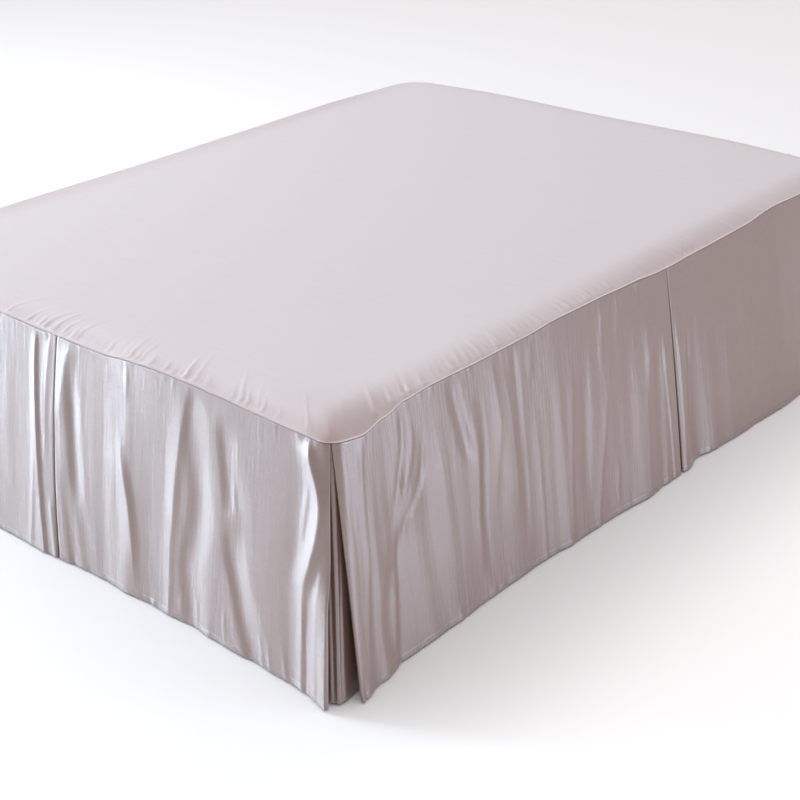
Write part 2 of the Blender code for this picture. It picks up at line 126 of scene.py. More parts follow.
# %% Seam and hem lines
Line = namedtuple("Line", "place seam_drop seam_out hem_out")
FOOT_LINES = (
    Line(-0.76, 0.022, 0.000, 0.092),
    Line(-0.60, 0.012, 0.000, 0.080),
    Line(-0.42, 0.016, 0.000, 0.070),
    Line(-0.20, 0.010, 0.000, 0.062),
    Line(-0.06, 0.014, 0.000, 0.067),
    Line(0.06, 0.016, 0.000, 0.061),
    Line(0.13, 0.016, 0.000, 0.058),
    Line(0.21, 0.009, 0.000, 0.064),
    Line(0.28, 0.006, 0.000, 0.061),
    Line(0.38, 0.007, 0.000, 0.064),
    Line(0.47, 0.011, 0.000, 0.069),
    Line(0.57, 0.017, 0.000, 0.076),
    Line(0.67, 0.021, 0.000, 0.080),
    Line(0.76, 0.024, 0.000, 0.092),
)
RIGHT_LINES = (
    Line(-1.015, 0.024, 0.000, 0.095),
    Line(-0.935, 0.031, 0.006, 0.078),
    Line(-0.87, 0.021, 0.002, 0.070),
    Line(-0.81, 0.010, 0.000, 0.066),
    Line(-0.73, 0.006, 0.000, 0.062),
    Line(-0.58, 0.009, 0.000, 0.057),
    Line(-0.42, 0.009, 0.000, 0.056),
    Line(-0.33, 0.005, 0.000, 0.064),
    Line(-0.18, 0.008, 0.000, 0.067),
    Line(-0.04, 0.013, 0.000, 0.078),
    Line(0.09, 0.021, 0.000, 0.077),
    Line(0.14, 0.022, 0.000, 0.077),
    Line(0.20, 0.020, 0.000, 0.063),
    Line(0.28, 0.020, 0.000, 0.075),
    Line(0.45, 0.018, 0.000, 0.082),
    Line(0.60, 0.007, 0.000, 0.087),
    Line(0.76, 0.012, 0.000, 0.081),
    Line(1.015, 0.018, 0.000, 0.095),
)
HEAD_LINES = (
    Line(-0.76, 0.018, 0.000, 0.092),
    Line(-0.35, 0.007, 0.000, 0.068),
    Line(0.05, 0.010, 0.000, 0.072),
    Line(0.40, 0.007, 0.000, 0.066),
    Line(0.76, 0.016, 0.000, 0.092),
)
LEFT_LINES = (
    Line(-1.015, 0.016, 0.000, 0.095),
    Line(-0.60, 0.007, 0.000, 0.070),
    Line(-0.20, 0.009, 0.000, 0.063),
    Line(0.10, 0.010, 0.000, 0.074),
    Line(0.55, 0.007, 0.000, 0.066),
    Line(1.015, 0.022, 0.000, 0.095),
)
print("rows of the foot and the right side:", len(FOOT_LINES), len(RIGHT_LINES))

# %% [markdown]
# ## Hanging folds
# The fullness of a panel hangs in soft upright folds. Each one begins at the seam or below it,
# is deepest part of the way down, lies flatter again at the hem and may drift along as it
# falls. They are listed one by one, because even folds would look like a curtain's.

# %% Hanging folds
# Place at the seam, width at the hem, depth (a trough is negative), share of the height where
# the fold begins, and how far it drifts along by the hem
Fold = namedtuple("Fold", "place width depth start drift")
FOOT_FOLDS = (
    Fold(-0.62, 0.110, 0.007, 0.00, -0.010),
    Fold(-0.50, 0.100, -0.006, 0.10, 0.000),
    Fold(-0.39, 0.080, 0.006, 0.00, 0.010),
    Fold(-0.28, 0.090, -0.005, 0.15, 0.000),
    Fold(-0.185, 0.080, 0.005, 0.00, -0.006),
    Fold(-0.084, 0.065, 0.008, 0.00, 0.004),
    Fold(0.012, 0.060, 0.006, 0.00, 0.000),
    Fold(0.075, 0.070, -0.006, 0.00, 0.006),
    Fold(0.154, 0.060, 0.006, 0.05, 0.000),
    Fold(0.207, 0.060, 0.006, 0.00, -0.006),
    Fold(0.272, 0.080, -0.004, 0.20, 0.000),
    Fold(0.346, 0.080, 0.007, 0.00, 0.010),
    Fold(0.422, 0.085, -0.008, 0.05, 0.010),
    Fold(0.480, 0.070, 0.005, 0.10, 0.000),
    Fold(0.535, 0.075, -0.007, 0.10, 0.012),
    Fold(0.605, 0.100, 0.005, 0.25, 0.000),
    Fold(0.672, 0.075, -0.006, 0.00, -0.008),
    Fold(0.722, 0.080, 0.009, 0.00, -0.006),
)
RIGHT_FOLDS = (
    Fold(-0.937, 0.065, 0.009, 0.00, 0.010),
    Fold(-0.885, 0.060, -0.007, 0.00, 0.020),
    Fold(-0.830, 0.070, 0.008, 0.00, 0.018),
    Fold(-0.780, 0.065, -0.007, 0.05, 0.010),
    Fold(-0.725, 0.070, 0.009, 0.05, 0.000),
    Fold(-0.640, 0.095, -0.006, 0.10, -0.010),
    Fold(-0.520, 0.100, 0.008, 0.00, 0.012),
    Fold(-0.430, 0.090, -0.006, 0.10, 0.000),
    Fold(-0.343, 0.090, 0.006, 0.00, 0.006),
    Fold(-0.245, 0.100, -0.005, 0.15, 0.000),
    Fold(-0.150, 0.090, 0.005, 0.00, -0.008),
    Fold(-0.070, 0.080, -0.005, 0.05, -0.010),
    Fold(0.010, 0.080, 0.010, 0.00, 0.012),
    Fold(0.062, 0.060, -0.005, 0.20, 0.008),
    Fold(0.137, 0.050, 0.007, 0.00, 0.004),
    Fold(0.172, 0.045, -0.006, 0.05, 0.020),
    Fold(0.222, 0.070, 0.004, 0.00, 0.010),
    Fold(0.285, 0.080, -0.005, 0.10, 0.010),
    Fold(0.360, 0.100, 0.006, 0.00, 0.000),
    Fold(0.480, 0.110, -0.005, 0.20, 0.000),
    Fold(0.600, 0.100, 0.006, 0.00, 0.008),
    Fold(0.720, 0.120, -0.005, 0.10, 0.000),
    Fold(0.850, 0.120, 0.007, 0.00, -0.010),
)
HEAD_FOLDS = (
    Fold(-0.56, 0.140, 0.007, 0.00, 0.010),
    Fold(-0.33, 0.150, -0.006, 0.10, 0.000),
    Fold(-0.15, 0.120, 0.007, 0.00, -0.010),
    Fold(0.20, 0.140, 0.006, 0.10, 0.010),
    Fold(0.40, 0.150, -0.006, 0.00, 0.000),
    Fold(0.60, 0.130, 0.007, 0.00, -0.010),
)
LEFT_FOLDS = (
    Fold(-0.78, 0.140, 0.007, 0.00, 0.010),
    Fold(-0.55, 0.150, -0.006, 0.10, 0.000),
    Fold(-0.34, 0.140, 0.007, 0.00, -0.010),
    Fold(-0.14, 0.120, -0.005, 0.10, 0.000),
    Fold(0.18, 0.140, 0.007, 0.00, 0.010),
    Fold(0.40, 0.150, -0.006, 0.00, 0.000),
    Fold(0.62, 0.150, 0.007, 0.10, -0.010),
    Fold(0.83, 0.130, -0.006, 0.00, 0.000),
)
print("folds:", len(FOOT_FOLDS), len(RIGHT_FOLDS), len(HEAD_FOLDS), len(LEFT_FOLDS))

# %% [markdown]
# ## The four sides
# Each side ties its tables to its directions and to the pleat in its middle. The foot and the
# right side hold the narrowest creases, so their columns of points lie closer together.

# %% Sides
# Length, unit vectors along and out, the middle pleat's place, how wide it opens at the hem,
# how far it bows along the side, how far its back hangs behind the face at the hem, the
# distance between columns, and the tables
FINE_PITCH, PLAIN_PITCH = 0.0042, 0.0085
Side = namedtuple("Side", "name length along out pleat pleat_open pleat_bow pleat_back pitch lines folds")
SIDES = (
    Side("foot", BED_WIDTH, (1, 0), (0, -1), -0.019, 0.002, -0.013, 0.010, FINE_PITCH,
         FOOT_LINES, FOOT_FOLDS),
    Side("right", BED_LENGTH, (0, 1), (1, 0), 0.112, 0.006, 0.004, 0.014, FINE_PITCH,
         RIGHT_LINES, RIGHT_FOLDS),
    Side("head", BED_WIDTH, (-1, 0), (0, 1), 0.0, 0.006, 0.0, 0.012, PLAIN_PITCH,
         HEAD_LINES, HEAD_FOLDS),
    Side("left", BED_LENGTH, (0, -1), (-1, 0), 0.0, 0.006, 0.0, 0.012, PLAIN_PITCH,
         LEFT_LINES, LEFT_FOLDS),
)
print("sides:", [side.name for side in SIDES])

# %% [markdown]
# ## Creases
# A satin panel also keeps softer, crooked creases from its packing and from the way its weight
# hangs. Each one is a trough or a ridge that follows a short path down the panel, given as
# (share of the drop, place) points, so that it can wander as cloth does. Its lean makes one
# flank wide and the other steep, as in a fold that has tipped over.

# %% Creases of the foot
Crease = namedtuple("Crease", "width depth lean path")
FOOT_CREASES = (
    Crease(0.032, 0.0029, -0.80,
           ((0.0, -0.084), (0.20, -0.082), (0.42, -0.074), (0.70, -0.066), (1.0, -0.058))),
    Crease(0.034, 0.0016, -0.2, ((0.50, -0.088), (0.75, -0.094), (0.90, -0.104), (1.0, -0.112))),
    Crease(0.080, -0.0022, 0.88,
           ((0.0, -0.080), (0.20, -0.078), (0.42, -0.070), (0.70, -0.062), (1.0, -0.054))),
    Crease(0.014, 0.0010, -0.3, ((0.10, -0.058), (0.30, -0.060), (0.50, -0.056))),
    Crease(0.036, 0.0020, -0.1, ((0.0, -0.040), (0.35, -0.050), (0.66, -0.046))),
    Crease(0.026, 0.0026, 0.0, ((0.70, -0.034), (0.88, -0.030), (1.0, -0.026))),
    Crease(0.070, 0.0034, -0.1, ((0.0, 0.024), (0.25, 0.004), (0.42, 0.000))),
    Crease(0.054, -0.0050, 0.2, ((0.05, 0.026), (0.34, 0.038), (0.60, 0.046), (0.85, 0.056))),
    Crease(0.060, -0.0022, 0.3, ((0.55, 0.012), (0.80, 0.022), (1.0, 0.032))),
    Crease(0.060, -0.0018, 0.3, ((0.70, 0.060), (0.88, 0.070), (1.0, 0.076))),
    Crease(0.066, 0.0058, -0.35,
           ((0.26, 0.176), (0.44, 0.192), (0.58, 0.214), (0.75, 0.226), (0.98, 0.230))),
    Crease(0.022, 0.0018, -0.1, ((0.0, 0.206), (0.08, 0.204), (0.17, 0.202))),
    Crease(0.018, 0.0010, 0.1, ((0.0, 0.146), (0.11, 0.146))),
    Crease(0.014, 0.0007, 0.1, ((0.0, 0.164), (0.08, 0.164))),
    Crease(0.056, 0.0028, -0.3,
           ((0.0, 0.386), (0.25, 0.364), (0.47, 0.352), (0.71, 0.341), (1.0, 0.339))),
    Crease(0.090, -0.0036, 0.3,
           ((0.0, 0.384), (0.24, 0.396), (0.46, 0.416), (0.64, 0.404), (0.75, 0.388), (0.95, 0.406),
            (1.0, 0.408))),
    Crease(0.074, -0.0038, 0.3, ((0.05, 0.488), (0.17, 0.486), (0.34, 0.503), (0.50, 0.515))),
    Crease(0.076, -0.0054, 0.3,
           ((0.45, 0.512), (0.63, 0.518), (0.76, 0.544), (0.88, 0.560), (1.0, 0.584))),
    Crease(0.020, 0.0018, 0.0, ((0.30, 0.512), (0.38, 0.520), (0.44, 0.528))),
    Crease(0.068, 0.0096, -0.3,
           ((0.0, 0.706), (0.07, 0.710), (0.14, 0.724), (0.20, 0.737), (0.29, 0.737), (0.39, 0.725),
            (0.49, 0.706), (0.61, 0.688), (0.78, 0.682))),
    Crease(0.024, 0.0022, -0.2, ((0.14, 0.706), (0.24, 0.700), (0.34, 0.690), (0.46, 0.680))),
    Crease(0.100, 0.0130, -0.70, ((0.44, 0.756), (0.60, 0.752), (0.80, 0.750), (1.0, 0.750))),
    Crease(0.018, 0.0016, -0.20,
           ((0.42, 0.738), (0.56, 0.728), (0.66, 0.722), (0.78, 0.718), (1.0, 0.716))),
    Crease(0.044, 0.0050, -0.55, ((0.58, 0.694), (0.78, 0.686), (0.95, 0.684), (1.0, 0.684))),
    Crease(0.016, 0.0020, -0.3, ((0.86, 0.594), (1.0, 0.602))),
    Crease(0.014, 0.0016, -0.3, ((0.88, 0.612), (1.0, 0.618))),
    Crease(0.016, 0.0018, -0.3, ((0.84, 0.640), (1.0, 0.652))),
    Crease(0.014, 0.0014, -0.3, ((0.84, 0.505), (1.0, 0.515))),
    Crease(0.014, 0.0014, -0.2, ((0.86, 0.420), (1.0, 0.424))),
)
print("creases of the foot:", len(FOOT_CREASES))

# %% Creases of the right side
RIGHT_CREASES = (
    Crease(0.042, 0.0023, -0.4,
           ((0.0, -0.940), (0.14, -0.948), (0.32, -0.952), (0.49, -0.950), (0.97, -0.975), (1.0, -0.976))),
    Crease(0.034, -0.0026, 0.0, ((0.0, -0.822), (0.15, -0.826), (0.32, -0.856), (0.48, -0.876))),
    Crease(0.036, 0.0023, -0.4, ((0.05, -0.800), (0.20, -0.802), (0.41, -0.858))),
    Crease(0.030, -0.0026, -0.2,
           ((0.12, -0.770), (0.25, -0.773), (0.36, -0.792), (0.43, -0.838), (0.61, -0.868))),
    Crease(0.055, -0.0030, 0.0,
           ((0.42, -0.868), (0.60, -0.888), (0.75, -0.912), (0.88, -0.908), (1.0, -0.888))),
    Crease(0.150, -0.0050, 0.8,
           ((0.34, -0.846), (0.50, -0.862), (0.70, -0.872), (0.85, -0.880), (1.0, -0.882))),
    Crease(0.056, -0.0042, 0.0, ((0.0, -0.672), (0.15, -0.662), (0.30, -0.648), (0.42, -0.640))),
    Crease(0.235, 0.0080, -0.7, ((0.10, -0.618), (0.31, -0.612), (0.64, -0.630), (0.94, -0.628))),
    Crease(0.040, -0.0021, -0.2, ((0.06, -0.590), (0.34, -0.588), (0.64, -0.606), (0.94, -0.600))),
    Crease(0.070, 0.0018, -0.4, ((0.0, -0.545), (0.30, -0.530), (0.55, -0.560), (0.76, -0.566))),
    Crease(0.100, 0.0040, -0.5, ((0.06, -0.502), (0.24, -0.494), (0.61, -0.492), (0.80, -0.500))),
    Crease(0.034, -0.0018, 0.0, ((0.0, -0.470), (0.31, -0.466), (0.61, -0.462), (0.95, -0.470))),
    Crease(0.028, 0.0012, -0.4, ((0.0, -0.413), (0.10, -0.416), (0.20, -0.416))),
    Crease(0.056, 0.0018, -0.4, ((0.22, -0.414), (0.40, -0.410), (0.76, -0.408), (1.0, -0.410))),
    Crease(0.060, -0.0018, 0.0, ((0.10, -0.350), (0.50, -0.352), (1.0, -0.360))),
    Crease(0.050, 0.0018, -0.4,
           ((0.15, -0.278), (0.32, -0.282), (0.60, -0.300), (0.90, -0.316), (1.0, -0.318))),
    Crease(0.050, -0.0016, 0.0, ((0.10, -0.225), (0.50, -0.240), (0.95, -0.262))),
    Crease(0.042, 0.0016, -0.4,
           ((0.38, -0.160), (0.49, -0.162), (0.70, -0.188), (0.92, -0.214), (1.0, -0.222))),
    Crease(0.031, 0.0014, -0.4, ((0.0, -0.154), (0.12, -0.160), (0.27, -0.169), (0.36, -0.168))),
    Crease(0.025, 0.0011, -0.4, ((0.0, -0.092), (0.10, -0.098), (0.24, -0.108))),
    Crease(0.028, 0.0013, -0.4, ((0.74, -0.132), (0.85, -0.139), (0.97, -0.144))),
    Crease(0.110, 0.0040, -0.45,
           ((0.12, 0.020), (0.32, 0.010), (0.58, -0.014), (0.88, -0.024), (1.0, -0.026))),
    Crease(0.060, -0.0040, 0.0, ((0.22, 0.050), (0.45, 0.042), (0.70, 0.034), (1.0, 0.030))),
    Crease(0.016, 0.0019, 0.3,
           ((0.14, 0.072), (0.30, 0.073), (0.60, 0.077), (0.97, 0.083), (1.0, 0.083))),
    Crease(0.018, 0.0024, 0.2,
           ((0.18, 0.127), (0.31, 0.127), (0.63, 0.130), (0.95, 0.127), (1.0, 0.127))),
    Crease(0.020, -0.0024, 0.0,
           ((0.24, 0.178), (0.41, 0.180), (0.62, 0.170), (0.83, 0.158), (0.95, 0.160))),
    Crease(0.080, 0.0010, 0.0, ((0.20, 0.330), (0.50, 0.340), (1.0, 0.350))),
    Crease(0.070, -0.0024, 0.0, ((0.10, 0.430), (0.50, 0.440), (1.0, 0.445))),
)
CREASES = (FOOT_CREASES, RIGHT_CREASES, (), ())   # the head and the left side have folds alone
print("creases of the right side:", len(RIGHT_CREASES))

# %% [markdown]
# ## Reading the tables
# Cloth has no sharp corner from one row of a table to the next, so values are eased between
# them. The helpers work on whole arrays at once, which keeps a fine mesh quick to make.

# %% Easing along a table
def smooth(x):
    """Soft step from 0 to 1."""
    x = np.clip(x, 0.0, 1.0)
    return x * x * (3.0 - 2.0 * x)


def along_line(lines, place, column):
    """One column of a Line table at many places, eased from row to row."""
    places = np.array([line.place for line in lines])
    values = np.array([getattr(line, column) for line in lines])
    place = np.clip(place, places[0], places[-1])
    low = np.clip(np.searchsorted(places, place, side="right") - 1, 0, len(places) - 2)
    share = smooth((place - places[low]) / (places[low + 1] - places[low]))
    return values[low] + share * (values[low + 1] - values[low])


print("hem of the foot stands out:", round(float(along_line(FOOT_LINES, 0.0, "hem_out")), 3))

# %% [markdown]
# ## The relief of folds and creases
# A hanging fold is a soft wave, round on both flanks. A crease in satin is sharper, because a
# tight weave of fine yarns stands up in a narrow crest, while its troughs stay round. Both are
# heights that move the cloth out or in.

# %% Folds and creases
FOLD_WIDTH_AT_SEAM = 0.75 # as a share of its width at the hem
FOLD_FULL = 0.45          # a fold swells over this share of the drop, and settles below it
FOLD_AT_HEM = 0.45        # share of its depth that is left at the hem
FOLD_SHARE = (0.20, 0.25, 1.0, 1.0)   # where creases are listed, they take over part of each fold
BEND_STEPS = (-0.045, -0.02, 0.0, 0.02, 0.045)   # a path is averaged over these shares of the drop
CREASE_FADE = 0.35        # share of its own length over which a crease comes and goes
PINCH = 1.7               # ridges of satin are pinched at the top, troughs are round


def fold_offset(folds, place, t, share):
    """How far the hanging folds carry the cloth out, where creases leave them this share."""
    total = np.zeros(np.broadcast(place, t).shape)
    for fold in folds:
        half_width = 0.5 * fold.width * (FOLD_WIDTH_AT_SEAM + (1.0 - FOLD_WIDTH_AT_SEAM) * t)
        reach = np.clip(np.abs(place - fold.place - fold.drift * t) / half_width, 0.0, 1.0)
        swell = smooth((t - fold.start) / FOLD_FULL)
        settle = 1.0 - (1.0 - FOLD_AT_HEM) * smooth((t - FOLD_FULL) / (1.0 - FOLD_FULL))
        total += share * fold.depth * swell * settle * np.cos(0.5 * np.pi * reach) ** 2
    return total


def crease_path(crease, t):
    """The crease's place at t, with the corners of its path rounded off."""
    shares, places = np.array(crease.path).T
    total = 0.0
    for step in BEND_STEPS:
        total = total + np.interp(t + step, shares, places)
    return total / len(BEND_STEPS)


def crease_offset(creases, place, t):
    """How far the creases carry the cloth out, fading in and out along each path."""
    total = np.zeros(np.broadcast(place, t).shape)
    for crease in creases:
        first, last = crease.path[0][0], crease.path[-1][0]
        fade = CREASE_FADE * (last - first)
        strength = 1.0
        if first > 0.0:
            strength = strength * smooth((t - first) / fade)
        if last < 1.0:
            strength = strength * smooth((last - t) / fade)
        from_path = place - crease_path(crease, t)
        half_width = 0.5 * crease.width * (1.0 + crease.lean * np.sign(from_path))
        reach = np.clip(np.abs(from_path) / half_width, 0.0, 1.0)
        trough = np.cos(0.5 * np.pi * reach) ** 2
        ridge = (1.0 - reach) ** PINCH
        total += crease.depth * strength * (trough if crease.depth < 0.0 else ridge)
    return total


deepest = min(crease.depth for crease in FOOT_CREASES)
highest = max(crease.depth for crease in FOOT_CREASES)
print("creases of the foot, in mm:", round(1000 * deepest, 1), "to", round(1000 * highest, 1))

# %% [markdown]
# ## Round the corners
# A place on the seam is measured along the sewn line itself, to the middle of each corner's
# arc. These helpers find that place above the floor plan and how far the cloth has turned.

# %% Places on the seam
def corner_before(index):
    """The corner where a side begins."""
    return CORNERS[(index - 1) % len(SIDES)]


def seam_ends(index):
    """First and last place of a side's seam, measured to the middle of the corner arcs."""
    half = SIDES[index].length / 2
    arc_gain = math.pi / 4 - 1.0
    return (-(half + corner_before(index).seam_radius * arc_gain),
            half + CORNERS[index].seam_radius * arc_gain)


def round_corner(index, place):
    """Places on the seam as (along, inset from the straight edge, turn of the normal)."""
    half = SIDES[index].length / 2
    radius = np.where(place > 0, CORNERS[index].seam_radius, corner_before(index).seam_radius)
    sign = np.sign(place)
    turn = np.maximum(np.abs(place) - (half - radius), 0.0) / radius
    along = np.where(turn > 0.0, sign * (half - radius + radius * np.sin(turn)), place)
    return along, radius * (1.0 - np.cos(turn)), sign * turn


def to_world(index, along, out, z):
    """World points from distances along a side and out from its straight edge."""
    side = SIDES[index]
    edge = SIDES[(index + 1) % len(SIDES)].length / 2
    x = side.along[0] * along + side.out[0] * (edge + out)
    y = side.along[1] * along + side.out[1] * (edge + out)
    return np.stack(np.broadcast_arrays(x, y, z), axis=-1)


print("seam of the foot:", [round(end, 3) for end in seam_ends(0)])

# %% [markdown]
# ## The hung cloth
# From the seam down, a panel swings out to its hem, and its upright edges slant because the
# cloth flares. One function puts any point of the drop in its place, from where it is on the
# seam and how far down it hangs, so that panels and pleat backs fit each other.

# %% Hanging a point
SPREAD_REACH = 0.25       # how far along the side the slant of an end edge is felt
EDGE_TOLERANCE = 1e-9
TUCK_UNDER = 0.5          # a layer starts this share of its depth lower, to clear the deck's edge


def hem_slant(index, place, t):
    """How far the panels' slanting end edges carry the cloth along the side."""
    side = SIDES[index]
    half = side.length / 2
    first, last = seam_ends(index)
    # an edge's place on the seam and on the hem, the way from it to its panel, and its bow,
    # which is fullest half way down
    ends = (
        (first, -(half + corner_before(index).after_past), -1.0, 0.0),
        (side.pleat, side.pleat - side.pleat_open / 2, 1.0, side.pleat_bow),
        (side.pleat, side.pleat + side.pleat_open / 2, -1.0, side.pleat_bow),
        (last, half + CORNERS[index].before_past, 1.0, 0.0),
    )
    shift = np.zeros(np.broadcast(place, t).shape)
    for end, hem_end, panel_side, bow in ends:
        inside = (end - place) * panel_side
        start = float(round_corner(index, np.array(end))[0])
        reach = np.where((inside >= -EDGE_TOLERANCE) & (inside < SPREAD_REACH), inside, SPREAD_REACH)
        slant = (hem_end - start) * t + bow * 4.0 * t * (1.0 - t)
        shift += slant * smooth(1.0 - reach / SPREAD_REACH)
    return shift


def hang(index, place, t, depth=0.0, proud=0.0, slanted=True):
    """World points of the drop: depth behind its face, or standing proud of it."""
    side = SIDES[index]
    along, inset, turn = round_corner(index, place)
    turn = turn * (1.0 - t)
    out = (along_line(side.lines, place, "seam_out") - inset) * (1.0 - t)
    folds = fold_offset(side.folds, place, t, FOLD_SHARE[index])
    out = out + along_line(side.lines, place, "hem_out") * t + folds
    if slanted:
        along = along + hem_slant(index, place, t)
    behind = depth - proud
    along = along - behind * np.sin(turn)
    out = out - behind * np.cos(turn)
    top = DECK_TOP - along_line(side.lines, place, "seam_drop") - TUCK_UNDER * depth
    return to_world(index, along, out, top + (HEM_HEIGHT - top) * t)


hem_middle = hang(0, np.array([0.0]), np.array([1.0]))[0]
print("hem at the middle of the foot:", [round(float(value), 3) for value in hem_middle])

# %% [markdown]
# ## Small puckers
# A gathered seam and a narrow hem both pull the cloth into small irregular tucks. They are too
# many to list, so a seeded generator draws their places, sizes and heights from a range that a
# maker would call normal, and the same ones come back on every run.

# %% Puckers at the seam and the hem
Pucker = namedtuple("Pucker", "count half_width length height")   # count per metre
SEAM_PUCKERS = Pucker(60, (0.004, 0.010), (0.012, 0.070), (-0.0009, 0.0012))
HEM_PUCKERS = Pucker(34, (0.006, 0.018), (0.015, 0.070), (-0.0014, 0.0016))
SHORTEST_SHARE = 0.4      # of the drawn length
BUNCH_LOW, BUNCH_TURN = 0.3, 9.0   # they come in bunches: least share of height, radians per metre
PUCKER_LEAN = 0.12        # along the seam, per metre of length


def puckers(kind, seed, place, reach):
    """Heights of seeded tucks that fade out along reach, the distance from seam or hem."""
    chance = np.random.default_rng(seed)
    low, high = float(place.min()), float(place.max())
    total = np.zeros(np.broadcast(place, reach).shape)
    for _ in range(int(kind.count * (high - low))):
        centre = chance.uniform(low, high)
        half_width = chance.uniform(*kind.half_width)
        length = chance.uniform(*kind.length) * chance.uniform(SHORTEST_SHARE, 1.0)
        bunch = BUNCH_LOW + (1.0 - BUNCH_LOW) * abs(math.sin(BUNCH_TURN * centre + seed))
        height = chance.uniform(*kind.height) * bunch
        lean = chance.uniform(-PUCKER_LEAN, PUCKER_LEAN)
        near = np.clip(np.abs(place - centre - lean * reach) / half_width, 0.0, 1.0)
        total += height * np.cos(0.5 * np.pi * near) ** 2 * smooth(1.0 - reach / length)
    return total


print("puckers per metre:", SEAM_PUCKERS.count, HEM_PUCKERS.count)

# %% [markdown]
# ## Materials
# Every finish is a small graph of nodes round one shader. The helpers turn a hex colour into
# the linear one that Blender mixes, add one node, and start a material from its sockets.

# %% Helpers for materials
def linear(hex_colour):
    """An sRGB hex colour as linear RGBA."""
    parts = [int(hex_colour[i:i + 2], 16) / 255 for i in (1, 3, 5)]
    return tuple(c / 12.92 if c <= 0.04045 else ((c + 0.055) / 1.055) ** 2.4 for c in parts) + (1.0,)


def add(tree, kind, values=None, links=None, **settings):
    """A node with its settings, its socket values and its links."""
    made = tree.nodes.new(kind)
    for key, value in settings.items():
        setattr(made, key, value)
    for name, value in (values or {}).items():
        made.inputs[name].default_value = value
    for name, source in (links or {}).items():
        tree.links.new(source, made.inputs[name])
    return made


def new_material(name, values):
    """A material whose shader has these socket values, with its node tree and shader."""
    made = bpy.data.materials.new(name)
    made.use_nodes = True
    shader = made.node_tree.nodes["Principled BSDF"]
    for key, value in values.items():
        shader.inputs[key].default_value = value
    made.diffuse_color = values["Base Color"]
    return made, made.node_tree, shader


print("middle grey, linear:", [round(value, 3) for value in linear("#808080")[:3]])

# %% [markdown]
# ## Polyester satin
# The drop is woven polyester satin: filament yarns float over four others before they are tied
# down, so the face is smooth and shines along the floats. The panels are cut lengthways, so
# the floats run along the bed, and the gloss spreads up and down. Its index is set above the
# 1.6 of polyester, because layers of floats shine more than one smooth face. Noise drawn long
# and thin along the floats tints the yarns, and upright noise gives a hung panel's small creases.

# %% Satin
SATIN_FACE, SATIN_DARK, SATIN_HEM = "#84675E", "#6A534B", "#7C5D55"
FLOAT_MM = 2.6            # real floats are 0.3 mm; drawn coarser so that they show
FLOAT_LENGTH_MM = 45.0
CRINKLE_MM, CRINKLE_LENGTH_MM = 8.0, 110.0   # between the small creases, and their length


def satin(name, light, dark):
    """Woven satin that shines along its floats, with fine upright creases."""
    made, tree, shader = new_material(name, {
        "Base Color": linear(light), "Roughness": 0.36, "IOR": 1.85,
        "Specular IOR Level": 1.0, "Anisotropic": 0.9, "Anisotropic Rotation": 0.25,
        "Coat Weight": 0.5, "Coat IOR": 1.54, "Coat Roughness": 0.25,
    })
    cloth = add(tree, "ShaderNodeUVMap", uv_map="cloth")
    floats = add(tree, "ShaderNodeMapping", {"Scale": (1000 / FLOAT_LENGTH_MM, 1000 / FLOAT_MM, 1.0)},
                 {"Vector": cloth.outputs["UV"]})
    streaks = add(tree, "ShaderNodeTexNoise", {"Scale": 1.0, "Detail": 3.0, "Roughness": 0.6},
                  {"Vector": floats.outputs["Vector"]})
    threads = add(tree, "ShaderNodeMapRange", {"From Min": 0.12, "From Max": 0.88},
                  {"Value": streaks.outputs["Fac"]})
    mix = add(tree, "ShaderNodeMixRGB", {"Color1": linear(dark), "Color2": linear(light)},
              {"Fac": threads.outputs["Result"]})
    tree.links.new(mix.outputs["Color"], shader.inputs["Base Color"])
    gloss = add(tree, "ShaderNodeMapRange", {"To Min": 0.32, "To Max": 0.40},
                {"Value": threads.outputs["Result"]})
    tree.links.new(gloss.outputs["Result"], shader.inputs["Roughness"])
    # the flat map's first direction, along the bed, is that of the floats
    tangent = add(tree, "ShaderNodeTangent", direction_type="UV_MAP", uv_map="cloth")
    tree.links.new(tangent.outputs["Tangent"], shader.inputs["Tangent"])
    upright = add(tree, "ShaderNodeMapping",
                  {"Scale": (1000 / CRINKLE_MM, 1000 / CRINKLE_LENGTH_MM, 1.0)},
                  {"Vector": cloth.outputs["UV"]})
    crinkle = add(tree, "ShaderNodeTexNoise", {"Scale": 1.0, "Detail": 4.0, "Roughness": 0.62},
                  {"Vector": upright.outputs["Vector"]})
    creased = add(tree, "ShaderNodeBump", {"Strength": 0.50, "Distance": 0.0016},
                  {"Height": crinkle.outputs["Fac"]})
    bump = add(tree, "ShaderNodeBump", {"Strength": 0.12, "Distance": 0.0004},
               {"Height": streaks.outputs["Fac"], "Normal": creased.outputs["Normal"]})
    tree.links.new(bump.outputs["Normal"], shader.inputs["Normal"])
    return made


polyester_satin = satin("polyester_satin", SATIN_FACE, SATIN_DARK)
satin_hem = satin("satin_hem_doubled", SATIN_HEM, SATIN_DARK)
# painted shade: the rows just under the seam are darker as its shadow, and dull
painted_seam_shade, _, _ = new_material("satin_painted_seam_shade", {
    "Base Color": linear("#8A7872"), "Roughness": 0.7, "IOR": 1.5, "Specular IOR Level": 0.2,
})
SATINS = [polyester_satin, satin_hem, painted_seam_shade]
print("made", polyester_satin.name, satin_hem.name)

# %% [markdown]
# ## Brushed microfibre
# The deck is a thin woven microfibre whose face was brushed. The loose fibre ends scatter the
# light, so it is matte, with a faint sheen at a glance and a nap that runs in soft streaks.

# %% Microfibre
DECK_LIGHT, DECK_DARK = "#D5CDCD", "#CBC1C1"
DECK_PAINTED_SHADE = "#A88F8C"    # painted shade: the darker, warmer colour of the deck near its edges
BRUSH_MM, BRUSH_LENGTH_MM = 6.0, 90.0   # streaks of the nap; single fibres are too fine to show


